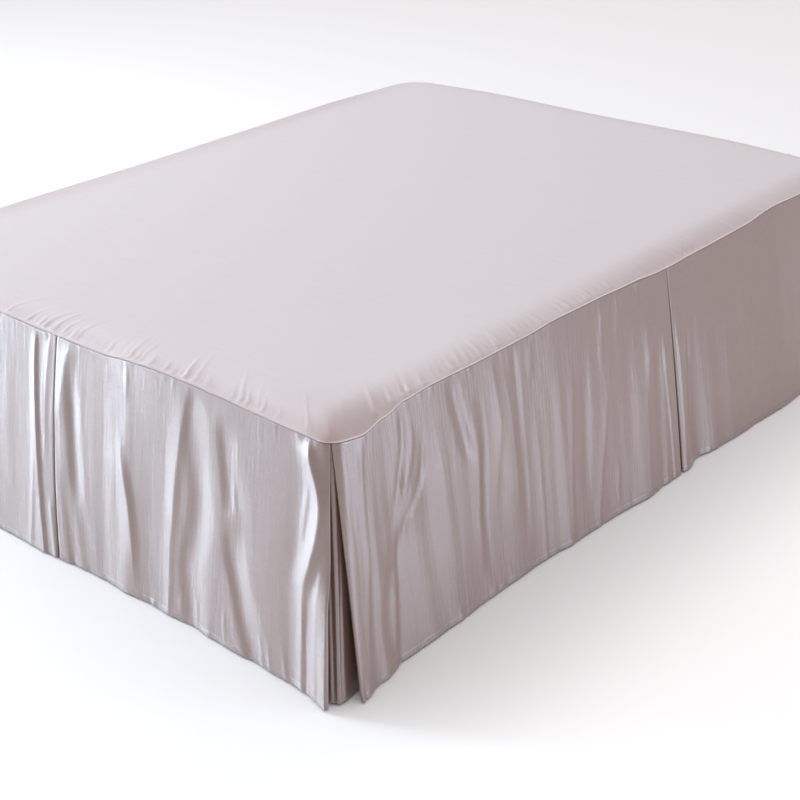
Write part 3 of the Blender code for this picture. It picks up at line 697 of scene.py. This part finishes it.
def microfibre(name, light, dark):
    """Brushed cloth in two close tints, mixed towards a painted shade where its points ask."""
    made, tree, shader = new_material(name, {
        "Base Color": linear(light), "Roughness": 0.85, "IOR": 1.5,
        "Specular IOR Level": 0.3, "Sheen Weight": 0.25, "Sheen Roughness": 0.6,
    })
    cloth = add(tree, "ShaderNodeUVMap", uv_map="cloth")
    brushed = add(tree, "ShaderNodeMapping",
                  {"Scale": (1000 / BRUSH_LENGTH_MM, 1000 / BRUSH_MM, 1.0)},
                  {"Vector": cloth.outputs["UV"]})
    streaks = add(tree, "ShaderNodeTexNoise", {"Scale": 1.0, "Detail": 4.0, "Roughness": 0.65},
                  {"Vector": brushed.outputs["Vector"]})
    mix = add(tree, "ShaderNodeMixRGB", {"Color1": linear(dark), "Color2": linear(light)},
              {"Fac": streaks.outputs["Fac"]})
    # painted shade: a value on each point darkens and warms the deck's colour
    painted_shade_mask = add(tree, "ShaderNodeAttribute", attribute_name="painted_shade")
    painted_shade_mix = add(tree, "ShaderNodeMixRGB", {"Color2": linear(DECK_PAINTED_SHADE)},
                 {"Fac": painted_shade_mask.outputs["Fac"], "Color1": mix.outputs["Color"]})
    tree.links.new(painted_shade_mix.outputs["Color"], shader.inputs["Base Color"])
    bump = add(tree, "ShaderNodeBump", {"Strength": 0.10, "Distance": 0.0006},
               {"Height": streaks.outputs["Fac"]})
    tree.links.new(bump.outputs["Normal"], shader.inputs["Normal"])
    return made


deck_microfibre = microfibre("brushed_microfibre", DECK_LIGHT, DECK_DARK)
print("made", deck_microfibre.name)

# %% [markdown]
# ## Cloth as a mesh
# Every cloth piece is a grid of points: rows run down the drop, or inward over the deck, and
# columns run along the seam. The grid carries a flat map in metres, so that the weave keeps
# its real scale, and a Solidify modifier gives the cloth its thickness, inward from the face.

# %% Cloth from a grid of points
CLOTH_THICK = 0.0012


def grid_faces(rows, columns, closed):
    """Faces of a grid as rows of four corners; a closed grid joins its last column to its first."""
    row, column = np.meshgrid(np.arange(rows - 1), np.arange(columns if closed else columns - 1),
                              indexing="ij")
    after = (column + 1) % columns
    here, below = row * columns, (row + 1) * columns
    return np.stack((here + column, below + column, below + after, here + after), axis=-1)


def cloth(name, points, flat, materials, bands=None, closed=False, cap=False, painted_shade=None):
    """A sheet through a grid of points; bands gives each row of faces its material."""
    rows, columns = points.shape[:2]
    grid = grid_faces(rows, columns, closed)
    faces = grid.reshape(-1, 4).tolist()
    which = np.repeat(bands, grid.shape[1]).tolist() if bands is not None else [0] * len(faces)
    if cap:
        faces.append(list(range(columns)))
        which.append(0)
    mesh = bpy.data.meshes.new(name)
    mesh.from_pydata(points.reshape(-1, 3).tolist(), [], faces)
    for finish in materials:
        mesh.materials.append(finish)
    mesh.polygons.foreach_set("material_index", which)
    mesh.polygons.foreach_set("use_smooth", [True] * len(faces))
    corners = np.empty(len(mesh.loops), dtype=np.int32)
    mesh.loops.foreach_get("vertex_index", corners)
    layer = mesh.uv_layers.new(name="cloth")
    layer.data.foreach_set("uv", flat.reshape(-1, 2)[corners].ravel())
    # painted shade: a value on each point, for the material to darken the cloth by
    if painted_shade is not None:
        shade = mesh.attributes.new("painted_shade", "FLOAT", "POINT")
        shade.data.foreach_set("value", painted_shade.ravel())
    mesh.update()
    piece = bpy.data.objects.new(name, mesh)
    scene.collection.objects.link(piece)
    thick = piece.modifiers.new("cloth_thickness", "SOLIDIFY")
    thick.thickness = CLOTH_THICK
    thick.offset = -1.0
    return piece


print("cloth thickness, in mm:", 1000 * CLOTH_THICK)

# %% [markdown]
# ## Rows down the drop
# The rows lie closer together near the seam and the hem, where the cloth does the most in the
# least height. The lowest ones belong to the turned hem, and the topmost carry the painted seam shade.

# %% Rows
ROW_MM = np.concatenate((
    [0, 1.5, 3, 5, 7.5, 10.5, 14, 18, 23, 29, 36, 44],
    np.arange(53, 440, 9.5), np.arange(441, 486, 6.5),
    [489, 492, 494.5, 496.5, 498, 499.5, 501.5, 504, 506.5, 508.5, 510],
))
ROWS = (ROW_MM / ROW_MM[-1])[:, None]
FROM_SEAM, FROM_HEM = ROWS * DROP, (1.0 - ROWS) * DROP
HEM_BAND = 0.013          # height of the turned hem
SEAM_SHADE_BAND = 0.0020        # height of the band under the seam that is painted dark as its shadow
# the finish of each row of faces: 0 the panel's face, 1 the hem, 2 the painted seam shade
bands = (FROM_HEM[:-1, 0] < HEM_BAND).astype(int)
bands[FROM_SEAM[:-1, 0] < SEAM_SHADE_BAND] = 2
print("rows:", len(ROWS), "of which hem:", int((bands == 1).sum()))

# %% [markdown]
# ## One piece of satin
# The panels and the pleat backs are all strips of the same cloth, cut to the drop with some
# more for the seam and the hem. So one function makes a strip from its grid with its flat map
# and finishes, adds it to the fixed body and hides the solid it replaces.


def run_along(points):
    """Length of cloth from the first column to each one, measured half way down."""
    steps = np.linalg.norm(np.diff(points[len(ROWS) // 2], axis=0), axis=-1)
    return np.concatenate(([0.0], np.cumsum(steps)))


def satin_strip(name, node, points, run):
    """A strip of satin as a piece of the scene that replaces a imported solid."""
    flat = np.stack(np.broadcast_arrays(run[None, :], FROM_HEM), axis=-1)
    piece = cloth(name, points, flat, SATINS, bands)
    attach(piece, "root")
    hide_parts(node)


# %% [markdown]
# ## The drop panels
# Each side has two panels. Their upright edges are turned back to make the pleats, and their
# lower edge is a narrow doubled hem, which stands a little proud below its sunk stitch line.
# Cloth is taut just under the seam, so creases and puckers only swell below it.

# %% Turned edges
TURN_STEPS = 7
TURN_AT_SEAM, TURN_AT_HEM = 0.0022, 0.0045   # radius of a turned edge
RETURN_WIDTH, RETURN_STEPS = 0.030, 3        # cloth turned back behind the face


def edge_grid(end, sign, radius):
    """Places and depths of one turned edge, out of the face (to -1 or +1) and round behind it."""
    angle = np.pi * np.arange(1, TURN_STEPS + 1)[None, :] / TURN_STEPS
    back = np.linspace(0.0, 1.0, RETURN_STEPS + 1)[None, 1:]
    turn = end - sign * radius * (1.0 - np.sin(angle))
    behind = end - sign * (radius + (RETURN_WIDTH - radius) * back)
    depth = np.concatenate((radius * (1.0 - np.cos(angle)), 2.0 * radius * np.ones_like(back)), axis=1)
    return np.concatenate((turn, behind), axis=1), depth


print("cloth turned back at each upright edge:", RETURN_WIDTH)

# %% Relief of a panel
CREASE_FREE, PUCKER_FREE = 0.040, 0.008   # how far below the seam each has swelled to the full
SEAM_TUCK, SEAM_TUCK_HEIGHT = 0.0014, 0.0035   # the panel's top draws in under the deck's edge
# the doubled hem stands proud, and the stitch line above it is sunk as deep
HEM_PROUD, HEM_STEP_HEIGHT, STITCH_REACH = 0.0003, 0.001, 0.0022
HEM_SEED = 50             # added to a panel's own seed, so that its hem is drawn apart


def panel_relief(index, place, seed):
    """How far a panel's face stands proud, from its creases, puckers, seam and hem."""
    proud = crease_offset(CREASES[index], place, ROWS) * smooth(FROM_SEAM / CREASE_FREE)
    proud = proud + puckers(SEAM_PUCKERS, seed, place, FROM_SEAM) * smooth(FROM_SEAM / PUCKER_FREE)
    proud = proud + puckers(HEM_PUCKERS, seed + HEM_SEED, place, FROM_HEM)
    proud = proud - SEAM_TUCK * (1.0 - smooth(FROM_SEAM / SEAM_TUCK_HEIGHT))
    proud = proud + HEM_PROUD * smooth((HEM_BAND - FROM_HEM) / HEM_STEP_HEIGHT)
    return proud - HEM_PROUD * smooth(1.0 - np.abs(FROM_HEM - HEM_BAND) / STITCH_REACH)


print("hem stands proud by, in mm:", 1000 * HEM_PROUD)


# %% Drop panels
EDGE_GAP = 0.0012         # where two panels meet


def panel_grid(index, first, last, seed):
    """Points of a panel with both of its upright edges turned back."""
    radius = TURN_AT_SEAM + (TURN_AT_HEM - TURN_AT_SEAM) * ROWS
    columns = math.ceil((last - first) / SIDES[index].pitch) + 1
    face = (first + radius) + np.linspace(0.0, 1.0, columns)[None, :] * ((last - first) - 2.0 * radius)
    start_place, start_depth = edge_grid(first, -1.0, radius)
    end_place, end_depth = edge_grid(last, 1.0, radius)
    place = np.concatenate((start_place[:, ::-1], face, end_place), axis=1)
    depth = np.concatenate((start_depth[:, ::-1], np.zeros_like(face), end_depth), axis=1)
    return hang(index, place, ROWS, depth, panel_relief(index, place, seed))


for index, side in enumerate(SIDES):
    first, last = seam_ends(index)
    gap = EDGE_GAP / 2
    ends = ((first + gap, side.pleat - gap), (side.pleat + gap, last - gap))
    for number, (start, end) in enumerate(ends, start=1):
        points = panel_grid(index, start, end, seed=10 * index + number)
        run = run_along(points)
        node = f"drop_{side.name}_{number}"
        satin_strip("satin_" + node, node, points, run)

# %% [markdown]
# ## The cloth behind the pleats
# An inverted pleat shows a strip of the same satin at its back. The middle pleats have a flat
# strip, which hangs a little further behind the panels at the hem than at the seam.

# %% Pleat backs
BACK_DEPTH = 0.0074       # behind the face, at the seam
BACK_CLEARANCE = 0.006    # more room at the hem, behind the turned edges of the panels
PLEAT_BACK_WIDTH, PLEAT_BACK_PITCH = 0.150, 0.006


def spaced(first, last, pitch):
    """Evenly spaced places from first to last, no further apart than the pitch."""
    return np.linspace(first, last, max(1, math.ceil((last - first) / pitch)) + 1)


for side_index, side in enumerate(SIDES):
    place = spaced(side.pleat - PLEAT_BACK_WIDTH / 2, side.pleat + PLEAT_BACK_WIDTH / 2, PLEAT_BACK_PITCH)
    depth = BACK_DEPTH + (side.pleat_back - BACK_DEPTH + BACK_CLEARANCE) * ROWS
    points = hang(side_index, place[None, :], ROWS, depth, slanted=False)
    satin_strip(f"pleat_cloth_{side.name}", f"pleat_back_{side.name}", points, place)

# %% [markdown]
# ## The cloth behind the corners
# The corner strips bend round from one side to the next. They are tighter at the hem than at
# the seam, bow inwards half way down on the rounder corners, and ripple a little, because
# nothing holds them below the seam.

# %% Corner backs
CORNER_BACK_REACH, CORNER_BACK_PITCH = 0.045, 0.005   # how far a strip runs along each side
CORNER_MARGIN = 0.006     # from the end of the seam's arc to where the strip runs straight
CORNER_BACK_HEM_RADIUS = 0.020
TIGHT_CORNER = 0.030      # radius of a corner whose strip does not bow
CORNER_BACK_BOW_SHARE = 0.20
RIPPLE_HEIGHT, RIPPLE_FULL = 0.0026, 0.6   # full at this share of the drop
RIPPLE_WAVES, RIPPLE_START = 6.0, 0.5
ARC_STEPS = 26


def corner_grid(index):
    """Points of the cloth behind a corner pleat, from one side round to the next."""
    after = (index + 1) % len(SIDES)
    corner, before_line, after_line = CORNERS[index], SIDES[index].lines[-1], SIDES[after].lines[0]
    arc_margin = corner.seam_radius * math.pi / 4 + CORNER_MARGIN
    reach = spaced(0.0, CORNER_BACK_REACH, CORNER_BACK_PITCH)[None, :]
    bow = CORNER_BACK_BOW_SHARE * (corner.seam_radius - TIGHT_CORNER) * 4.0 * ROWS * (1.0 - ROWS)
    depth_before = BACK_DEPTH + (corner.before_back - BACK_DEPTH) * ROWS + bow
    depth_after = BACK_DEPTH + (corner.after_back - BACK_DEPTH) * ROWS + bow
    before = hang(index, (seam_ends(index)[1] - arc_margin) - reach[:, ::-1], ROWS, depth_before)
    behind = hang(after, (seam_ends(after)[0] + arc_margin) + reach, ROWS, depth_after)
    seam_radius = corner.seam_radius - BACK_DEPTH
    radius = seam_radius + (CORNER_BACK_HEM_RADIUS - seam_radius) * ROWS
    along = SIDES[index].length / 2 + after_line.hem_out * ROWS - depth_after - radius
    out = before_line.hem_out * ROWS - depth_before - radius
    top = DECK_TOP - before_line.seam_drop - TUCK_UNDER * BACK_DEPTH
    angle = 0.5 * np.pi * np.linspace(0.0, 1.0, ARC_STEPS + 1)[None, :]
    wave = np.sin(2.0 * angle) * np.cos(RIPPLE_WAVES * angle + RIPPLE_START)
    radius = radius + RIPPLE_HEIGHT * smooth(ROWS / RIPPLE_FULL) * wave
    arc = to_world(index, along + radius * np.sin(angle), out + radius * np.cos(angle),
                   top + (HEM_HEIGHT - top) * ROWS)
    return np.concatenate((before, arc, behind), axis=1)


for number in range(1, len(SIDES) + 1):
    points = corner_grid(number - 1)
    run = run_along(points)
    satin_strip(f"corner_cloth_{number}", f"corner_back_{number}", points, run)

# %% [markdown]
# ## The deck cloth
# The deck lies flat on the base, rolls over its edge and ends in the seam, whose folded
# allowance stands a little proud of the satin. It is built as rings that run inward from the
# seam, close together where it rolls and puckers, and wide apart in the middle.

# %% Rings of the deck
DECK_LEAST_RADIUS = 0.015 # of a ring's corners
INWARD_MM = np.concatenate((
    [0, 1.5, 3.5, 6, 9, 12.5, 17, 22, 28, 35, 43, 52, 62], np.arange(74, 180, 12),
    [190, 240, 310, 420, 570, 744],
))


def ring(index, place, inward):
    """(along, inset) of a ring that runs inward of the seam, kept rounded at its corners."""
    half = SIDES[index].length / 2
    start_radius, end_radius = corner_before(index).seam_radius, CORNERS[index].seam_radius
    start, end = start_radius - half, half - end_radius
    ring_start_radius = np.maximum(start_radius - inward, DECK_LEAST_RADIUS)
    ring_end_radius = np.maximum(end_radius - inward, DECK_LEAST_RADIUS)
    ring_start = inward + ring_start_radius - half
    ring_end = half - inward - ring_end_radius
    turn_before = np.clip((start - place) / start_radius, 0.0, None)
    turn_after = np.clip((place - end) / end_radius, 0.0, None)
    share = np.clip((place - start) / (end - start), 0.0, 1.0)
    along = ring_start + share * (ring_end - ring_start)
    along = along - ring_start_radius * np.sin(turn_before) + ring_end_radius * np.sin(turn_after)
    inset = inward + ring_start_radius * (1.0 - np.cos(turn_before))
    return along, inset + ring_end_radius * (1.0 - np.cos(turn_after))


print("rings:", len(INWARD_MM))

# %% Surface of the deck
DECK_ROLL, DECK_FALL = 0.080, 2.2   # how far in the deck starts to fall, and how steeply
DECK_LIP = 0.0035         # the roll ends this much above the seam
DECK_PUCKERS = (
    Pucker(110, (0.0042, 0.0080), (0.040, 0.170), (-0.0009, 0.0026)),
    Pucker(120, (0.0050, 0.0110), (0.040, 0.130), (-0.0016, 0.0040)),
    Pucker(90, (0.0042, 0.0080), (0.040, 0.150), (-0.0009, 0.0024)),
    Pucker(90, (0.0042, 0.0080), (0.040, 0.150), (-0.0009, 0.0024)),
)
DECK_SEED = 200
DECK_PUCKER_FREE = 0.006  # how far in from the seam they have swelled to the full
CORNER_CALM, CALM_REACH = 0.25, 0.22   # corners are pulled flat: share of height left there
DECK_PITCHES = (FINE_PITCH, FINE_PITCH, 0.012, 0.012)   # between columns, on each side
SEAM_LIP = (              # (out, up from the seam) of the rolled edge
    (0.0004, -0.0006), (0.0013, -0.0003), (0.0018, 0.0006), (0.0016, 0.0016), (0.0008, 0.0027),
)


def deck_side(index):
    """Rings of the deck along one side, from the middle out to the seam and its rolled edge."""
    side = SIDES[index]
    first, last = seam_ends(index)
    place = spaced(first, last, DECK_PITCHES[index])[None, :-1]
    inward = (INWARD_MM / 1000.0)[:, None]
    drop = along_line(side.lines, place, "seam_drop")
    seam_out = along_line(side.lines, place, "seam_out")
    along, inset = ring(index, place, inward)
    down = (drop - DECK_LIP) * np.clip(1.0 - inward / DECK_ROLL, 0.0, 1.0) ** DECK_FALL
    from_corner = side.length / 2 - np.abs(place)
    calm = CORNER_CALM + (1.0 - CORNER_CALM) * smooth(from_corner / CALM_REACH)
    up = calm * puckers(DECK_PUCKERS[index], DECK_SEED + index, place, inward)
    up = up * smooth(inward / DECK_PUCKER_FREE)
    out = seam_out * (1.0 - smooth(inward / DECK_ROLL)) - inset
    rings = [to_world(index, along, out, DECK_TOP - down + up)[::-1]]
    along, inset, turn = round_corner(index, place)
    for lip_out, lip_up in SEAM_LIP[::-1]:
        rings.append(to_world(index, along + lip_out * np.sin(turn),
                              seam_out - inset + lip_out * np.cos(turn), DECK_TOP - drop + lip_up))
    return np.concatenate(rings, axis=0)


deck_points = np.concatenate([deck_side(index) for index in range(len(SIDES))], axis=1)
print("deck grid:", deck_points.shape)

# %% [markdown]
# ## Painted shade at the deck's edge
# The deck's colour is painted darker and warmer as shade near its edges, most on the long sides
# and round the near corner. A value on each point tells the material how much.

# %% Deck cloth
# painted shade: how strong it is at an edge and how far in it reaches
PaintedShade = namedtuple("PaintedShade", "strength reach")
SIDE_PAINTED_SHADE, END_PAINTED_SHADE = PaintedShade(0.45, 0.10), PaintedShade(0.18, 0.05)
NEAR_CORNER_PAINTED_SHADE = PaintedShade(0.24, 0.30)
LIP_PAINTED_SHADE = PaintedShade(0.55, 0.03)   # painted shade on the lip near the foot and head only, leaving a painted light edge on the long sides


def fading(painted_shade, distance):
    """A painted shade that is strongest at its edge and gone at its reach."""
    return painted_shade.strength * (1.0 - smooth(distance / painted_shade.reach))


def deck_painted_shade(points):
    """How much painted shade the deck's colour takes at each of its points."""
    from_side = BED_WIDTH / 2 - np.abs(points[..., 0])
    from_end = BED_LENGTH / 2 - np.abs(points[..., 1])
    # painted shade round the near corner only, at the right end of the foot
    from_corner = np.hypot(points[..., 0] - BED_WIDTH / 2, points[..., 1] + BED_LENGTH / 2)
    total = fading(SIDE_PAINTED_SHADE, from_side) + fading(END_PAINTED_SHADE, from_end)
    total = total + fading(NEAR_CORNER_PAINTED_SHADE, from_corner)
    # the rolled lip takes painted shade only at the foot and head, so on the long sides it shows as a
    # painted light edge
    lip = slice(-len(SEAM_LIP), None)
    total[lip] = fading(LIP_PAINTED_SHADE, from_end[lip])
    return np.clip(total, 0.0, 1.0)


deck = cloth("deck_cloth", deck_points, deck_points[..., :2].copy(), [deck_microfibre],
             closed=True, cap=True, painted_shade=deck_painted_shade(deck_points))
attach(deck, "root")
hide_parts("deck")
print("deck faces:", len(deck.data.polygons))

# %% [markdown]
# ## The base and its legs
# The base under the skirt is an upholstered box on turned wooden legs. Both are out of sight
# under the drop, so the solids stay as they are. They get a plain woven polyester, which is
# dull and shows its threads close up, and a lacquered beech, whose clear coat shines a little.

# %% Base cloth
WEAVE_MM = 0.7854         # from thread to thread
WAVES_PER_UNIT = 20 / (2 * math.pi)   # that the Wave node draws at scale 1


def base_weave():
    """Plain woven polyester, dull, with its threads in two tints."""
    made, tree, shader = new_material("woven_polyester", {
        "Base Color": linear("#9C9891"), "Roughness": 0.9, "IOR": 1.5, "Specular IOR Level": 0.3,
    })
    place = add(tree, "ShaderNodeTexCoord")
    weave = add(tree, "ShaderNodeTexWave", {"Scale": 1000 / (WEAVE_MM * WAVES_PER_UNIT), "Distortion": 2.0},
                {"Vector": place.outputs["Object"]})
    mix = add(tree, "ShaderNodeMixRGB", {"Color1": linear("#8E8A83"), "Color2": linear("#A6A29B")},
              {"Fac": weave.outputs["Fac"]})
    tree.links.new(mix.outputs["Color"], shader.inputs["Base Color"])
    bump = add(tree, "ShaderNodeBump", {"Strength": 0.3, "Distance": 0.0005},
               {"Height": weave.outputs["Fac"]})
    tree.links.new(bump.outputs["Normal"], shader.inputs["Normal"])
    return made


def repaint(node, finish):
    """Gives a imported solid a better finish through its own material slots."""
    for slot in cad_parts[node].material_slots:
        slot.material = finish


repaint("bed_base", base_weave())
print("bed_base slots:", len(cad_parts["bed_base"].material_slots))

# %% Leg wood
GRAIN_MM, GRAIN_LENGTH_MM = 8.333, 125.0


def lacquered_beech():
    """Turned beech under a thin lacquer, with its grain along the leg."""
    made, tree, shader = new_material("lacquered_beech", {
        "Base Color": linear("#6E5138"), "Roughness": 0.35, "IOR": 1.5,
        "Coat Weight": 0.3, "Coat Roughness": 0.2,
    })
    place = add(tree, "ShaderNodeTexCoord")
    stretched = add(tree, "ShaderNodeMapping",
                    {"Scale": (1000 / GRAIN_MM, 1000 / GRAIN_MM, 1000 / GRAIN_LENGTH_MM)},
                    {"Vector": place.outputs["Object"]})
    grain = add(tree, "ShaderNodeTexNoise", {"Scale": 1.0, "Detail": 4.0},
                {"Vector": stretched.outputs["Vector"]})
    mix = add(tree, "ShaderNodeMixRGB", {"Color1": linear("#5E432D"), "Color2": linear("#7C5D41")},
              {"Fac": grain.outputs["Fac"]})
    tree.links.new(mix.outputs["Color"], shader.inputs["Base Color"])
    return made


leg_finish = lacquered_beech()
legs = [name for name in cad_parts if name.startswith("leg_")]
for name in legs:
    repaint(name, leg_finish)
print("legs:", len(legs))

# %% [markdown]
# ## The floor
# A pale matte floor shows cloth best: it sends soft light back up to the hem and keeps only a
# faint shadow. It belongs to the studio and not to the part.

# %% Floor
FLOOR_SIZE = 40.0
half = FLOOR_SIZE / 2
floor_mesh = bpy.data.meshes.new("floor")
floor_mesh.from_pydata([(-half, -half, 0), (half, -half, 0), (half, half, 0), (-half, half, 0)], [],
                       [(0, 1, 2, 3)])
floor = bpy.data.objects.new("floor", floor_mesh)
scene.collection.objects.link(floor)
floor_paint, _, _ = new_material("pale_matte_floor", {
    "Base Color": linear("#F7F6F5"), "Roughness": 0.9, "Specular IOR Level": 0.1,
})
floor_mesh.materials.append(floor_paint)
print("floor:", FLOOR_SIZE, "m")

# %% [markdown]
# ## Lamps
# A lamp high on the left models the deck, and two tall banks at the front left light the foot.
# Satin draws the reflection of a bank out into a narrow upright line, so these give it its
# streaks, and a bank at the right does the same for the long side. Two lamps with grids, which
# keep their light in a narrow beam, lift the near corner and the floor beside the bed.

# %% Lamps
Lamp = namedtuple("Lamp", "name place target width height power colour spread")   # spread in degrees
LAMPS = (
    Lamp("key_left", (-3.8, -1.6, 2.7), (0.0, -0.2, 0.4), 1.8, 1.4, 75.0, "#E8F0FF", 180),
    Lamp("bank_left", (-5.4, -3.4, 1.3), (0.3, -1.05, 0.5), 1.3, 3.2, 370.0, "#DAEEFF", 180),
    Lamp("bank_front", (-3.56, -5.65, 1.6), (0.3, -1.05, 0.5), 1.9, 3.6, 59.0, "#D6EAFF", 180),
    Lamp("grid_corner", (-4.15, -4.58, 0.85), (0.95, -1.0, 0.3), 1.0, 1.6, 1.6, "#DCEEFF", 10),
    Lamp("grid_floor", (1.48, -0.4, 2.6), (1.48, -0.4, 0.0), 0.8, 2.6, 1.5, "#FFFFFF", 12),
    Lamp("bank_right", (5.15, 1.89, 0.95), (0.8, -0.8, 0.5), 2.20, 1.8, 84.0, "#DFE4FB", 180),
)
for lamp in LAMPS:
    light = bpy.data.lights.new(lamp.name, "AREA")
    light.shape = "RECTANGLE"
    light.size, light.size_y = lamp.width, lamp.height
    light.energy = lamp.power
    light.spread = math.radians(lamp.spread)
    light.color = linear(lamp.colour)[:3]
    holder = bpy.data.objects.new(lamp.name, light)
    holder.location = lamp.place
    aim = Vector(lamp.target) - Vector(lamp.place)
    holder.rotation_euler = aim.to_track_quat("-Z", "Y").to_euler()
    scene.collection.objects.link(holder)
print("lamps:", len(LAMPS))

# %% [markdown]
# ## A flag for one lamp
# The strongest bank also faces the left side, and its glare would hide the folds there. A
# studio would put up a flag, a black cloth that shades one part of the set. Light linking does
# the same: this bank lights everything but the pieces of that side.

# %% Flag
flag = bpy.data.collections.new("flagged")
bpy.data.objects["bank_left"].light_linking.receiver_collection = flag
for piece in [thing for thing in scene.objects if thing.type == "MESH" and "_left" in thing.name]:
    flag.objects.link(piece)
for member in flag.collection_objects:
    member.light_linking.link_state = "EXCLUDE"

# %% [markdown]
# ## The room
# A room is brightest overhead and dimmer and warmer low down, where walls and floor send light
# back. A blend by height does that with one node, and evenly from all sides.

# %% Room
LOW_LIGHT = (0.235, 0.198, 0.184, 1.0)    # linear: a lit ceiling goes above 1
CEILING_LIGHT = (1.13, 1.10, 1.11, 1.0)

world = bpy.data.worlds.new("studio")
world.use_nodes = True
room = world.node_tree
direction = add(room, "ShaderNodeTexCoord")
height = add(room, "ShaderNodeSeparateXYZ", links={"Vector": direction.outputs["Generated"]})
rising = add(room, "ShaderNodeMixRGB", {"Color1": LOW_LIGHT, "Color2": CEILING_LIGHT},
             {"Fac": height.outputs["Z"]}, use_clamp=True)
room.links.new(rising.outputs["Color"], room.nodes["Background"].inputs["Color"])
room.nodes["Background"].inputs["Strength"].default_value = 1.0
scene.world = world
scene.view_settings.view_transform = "Standard"
print("room light, low to high:", LOW_LIGHT[:3], CEILING_LIGHT[:3])
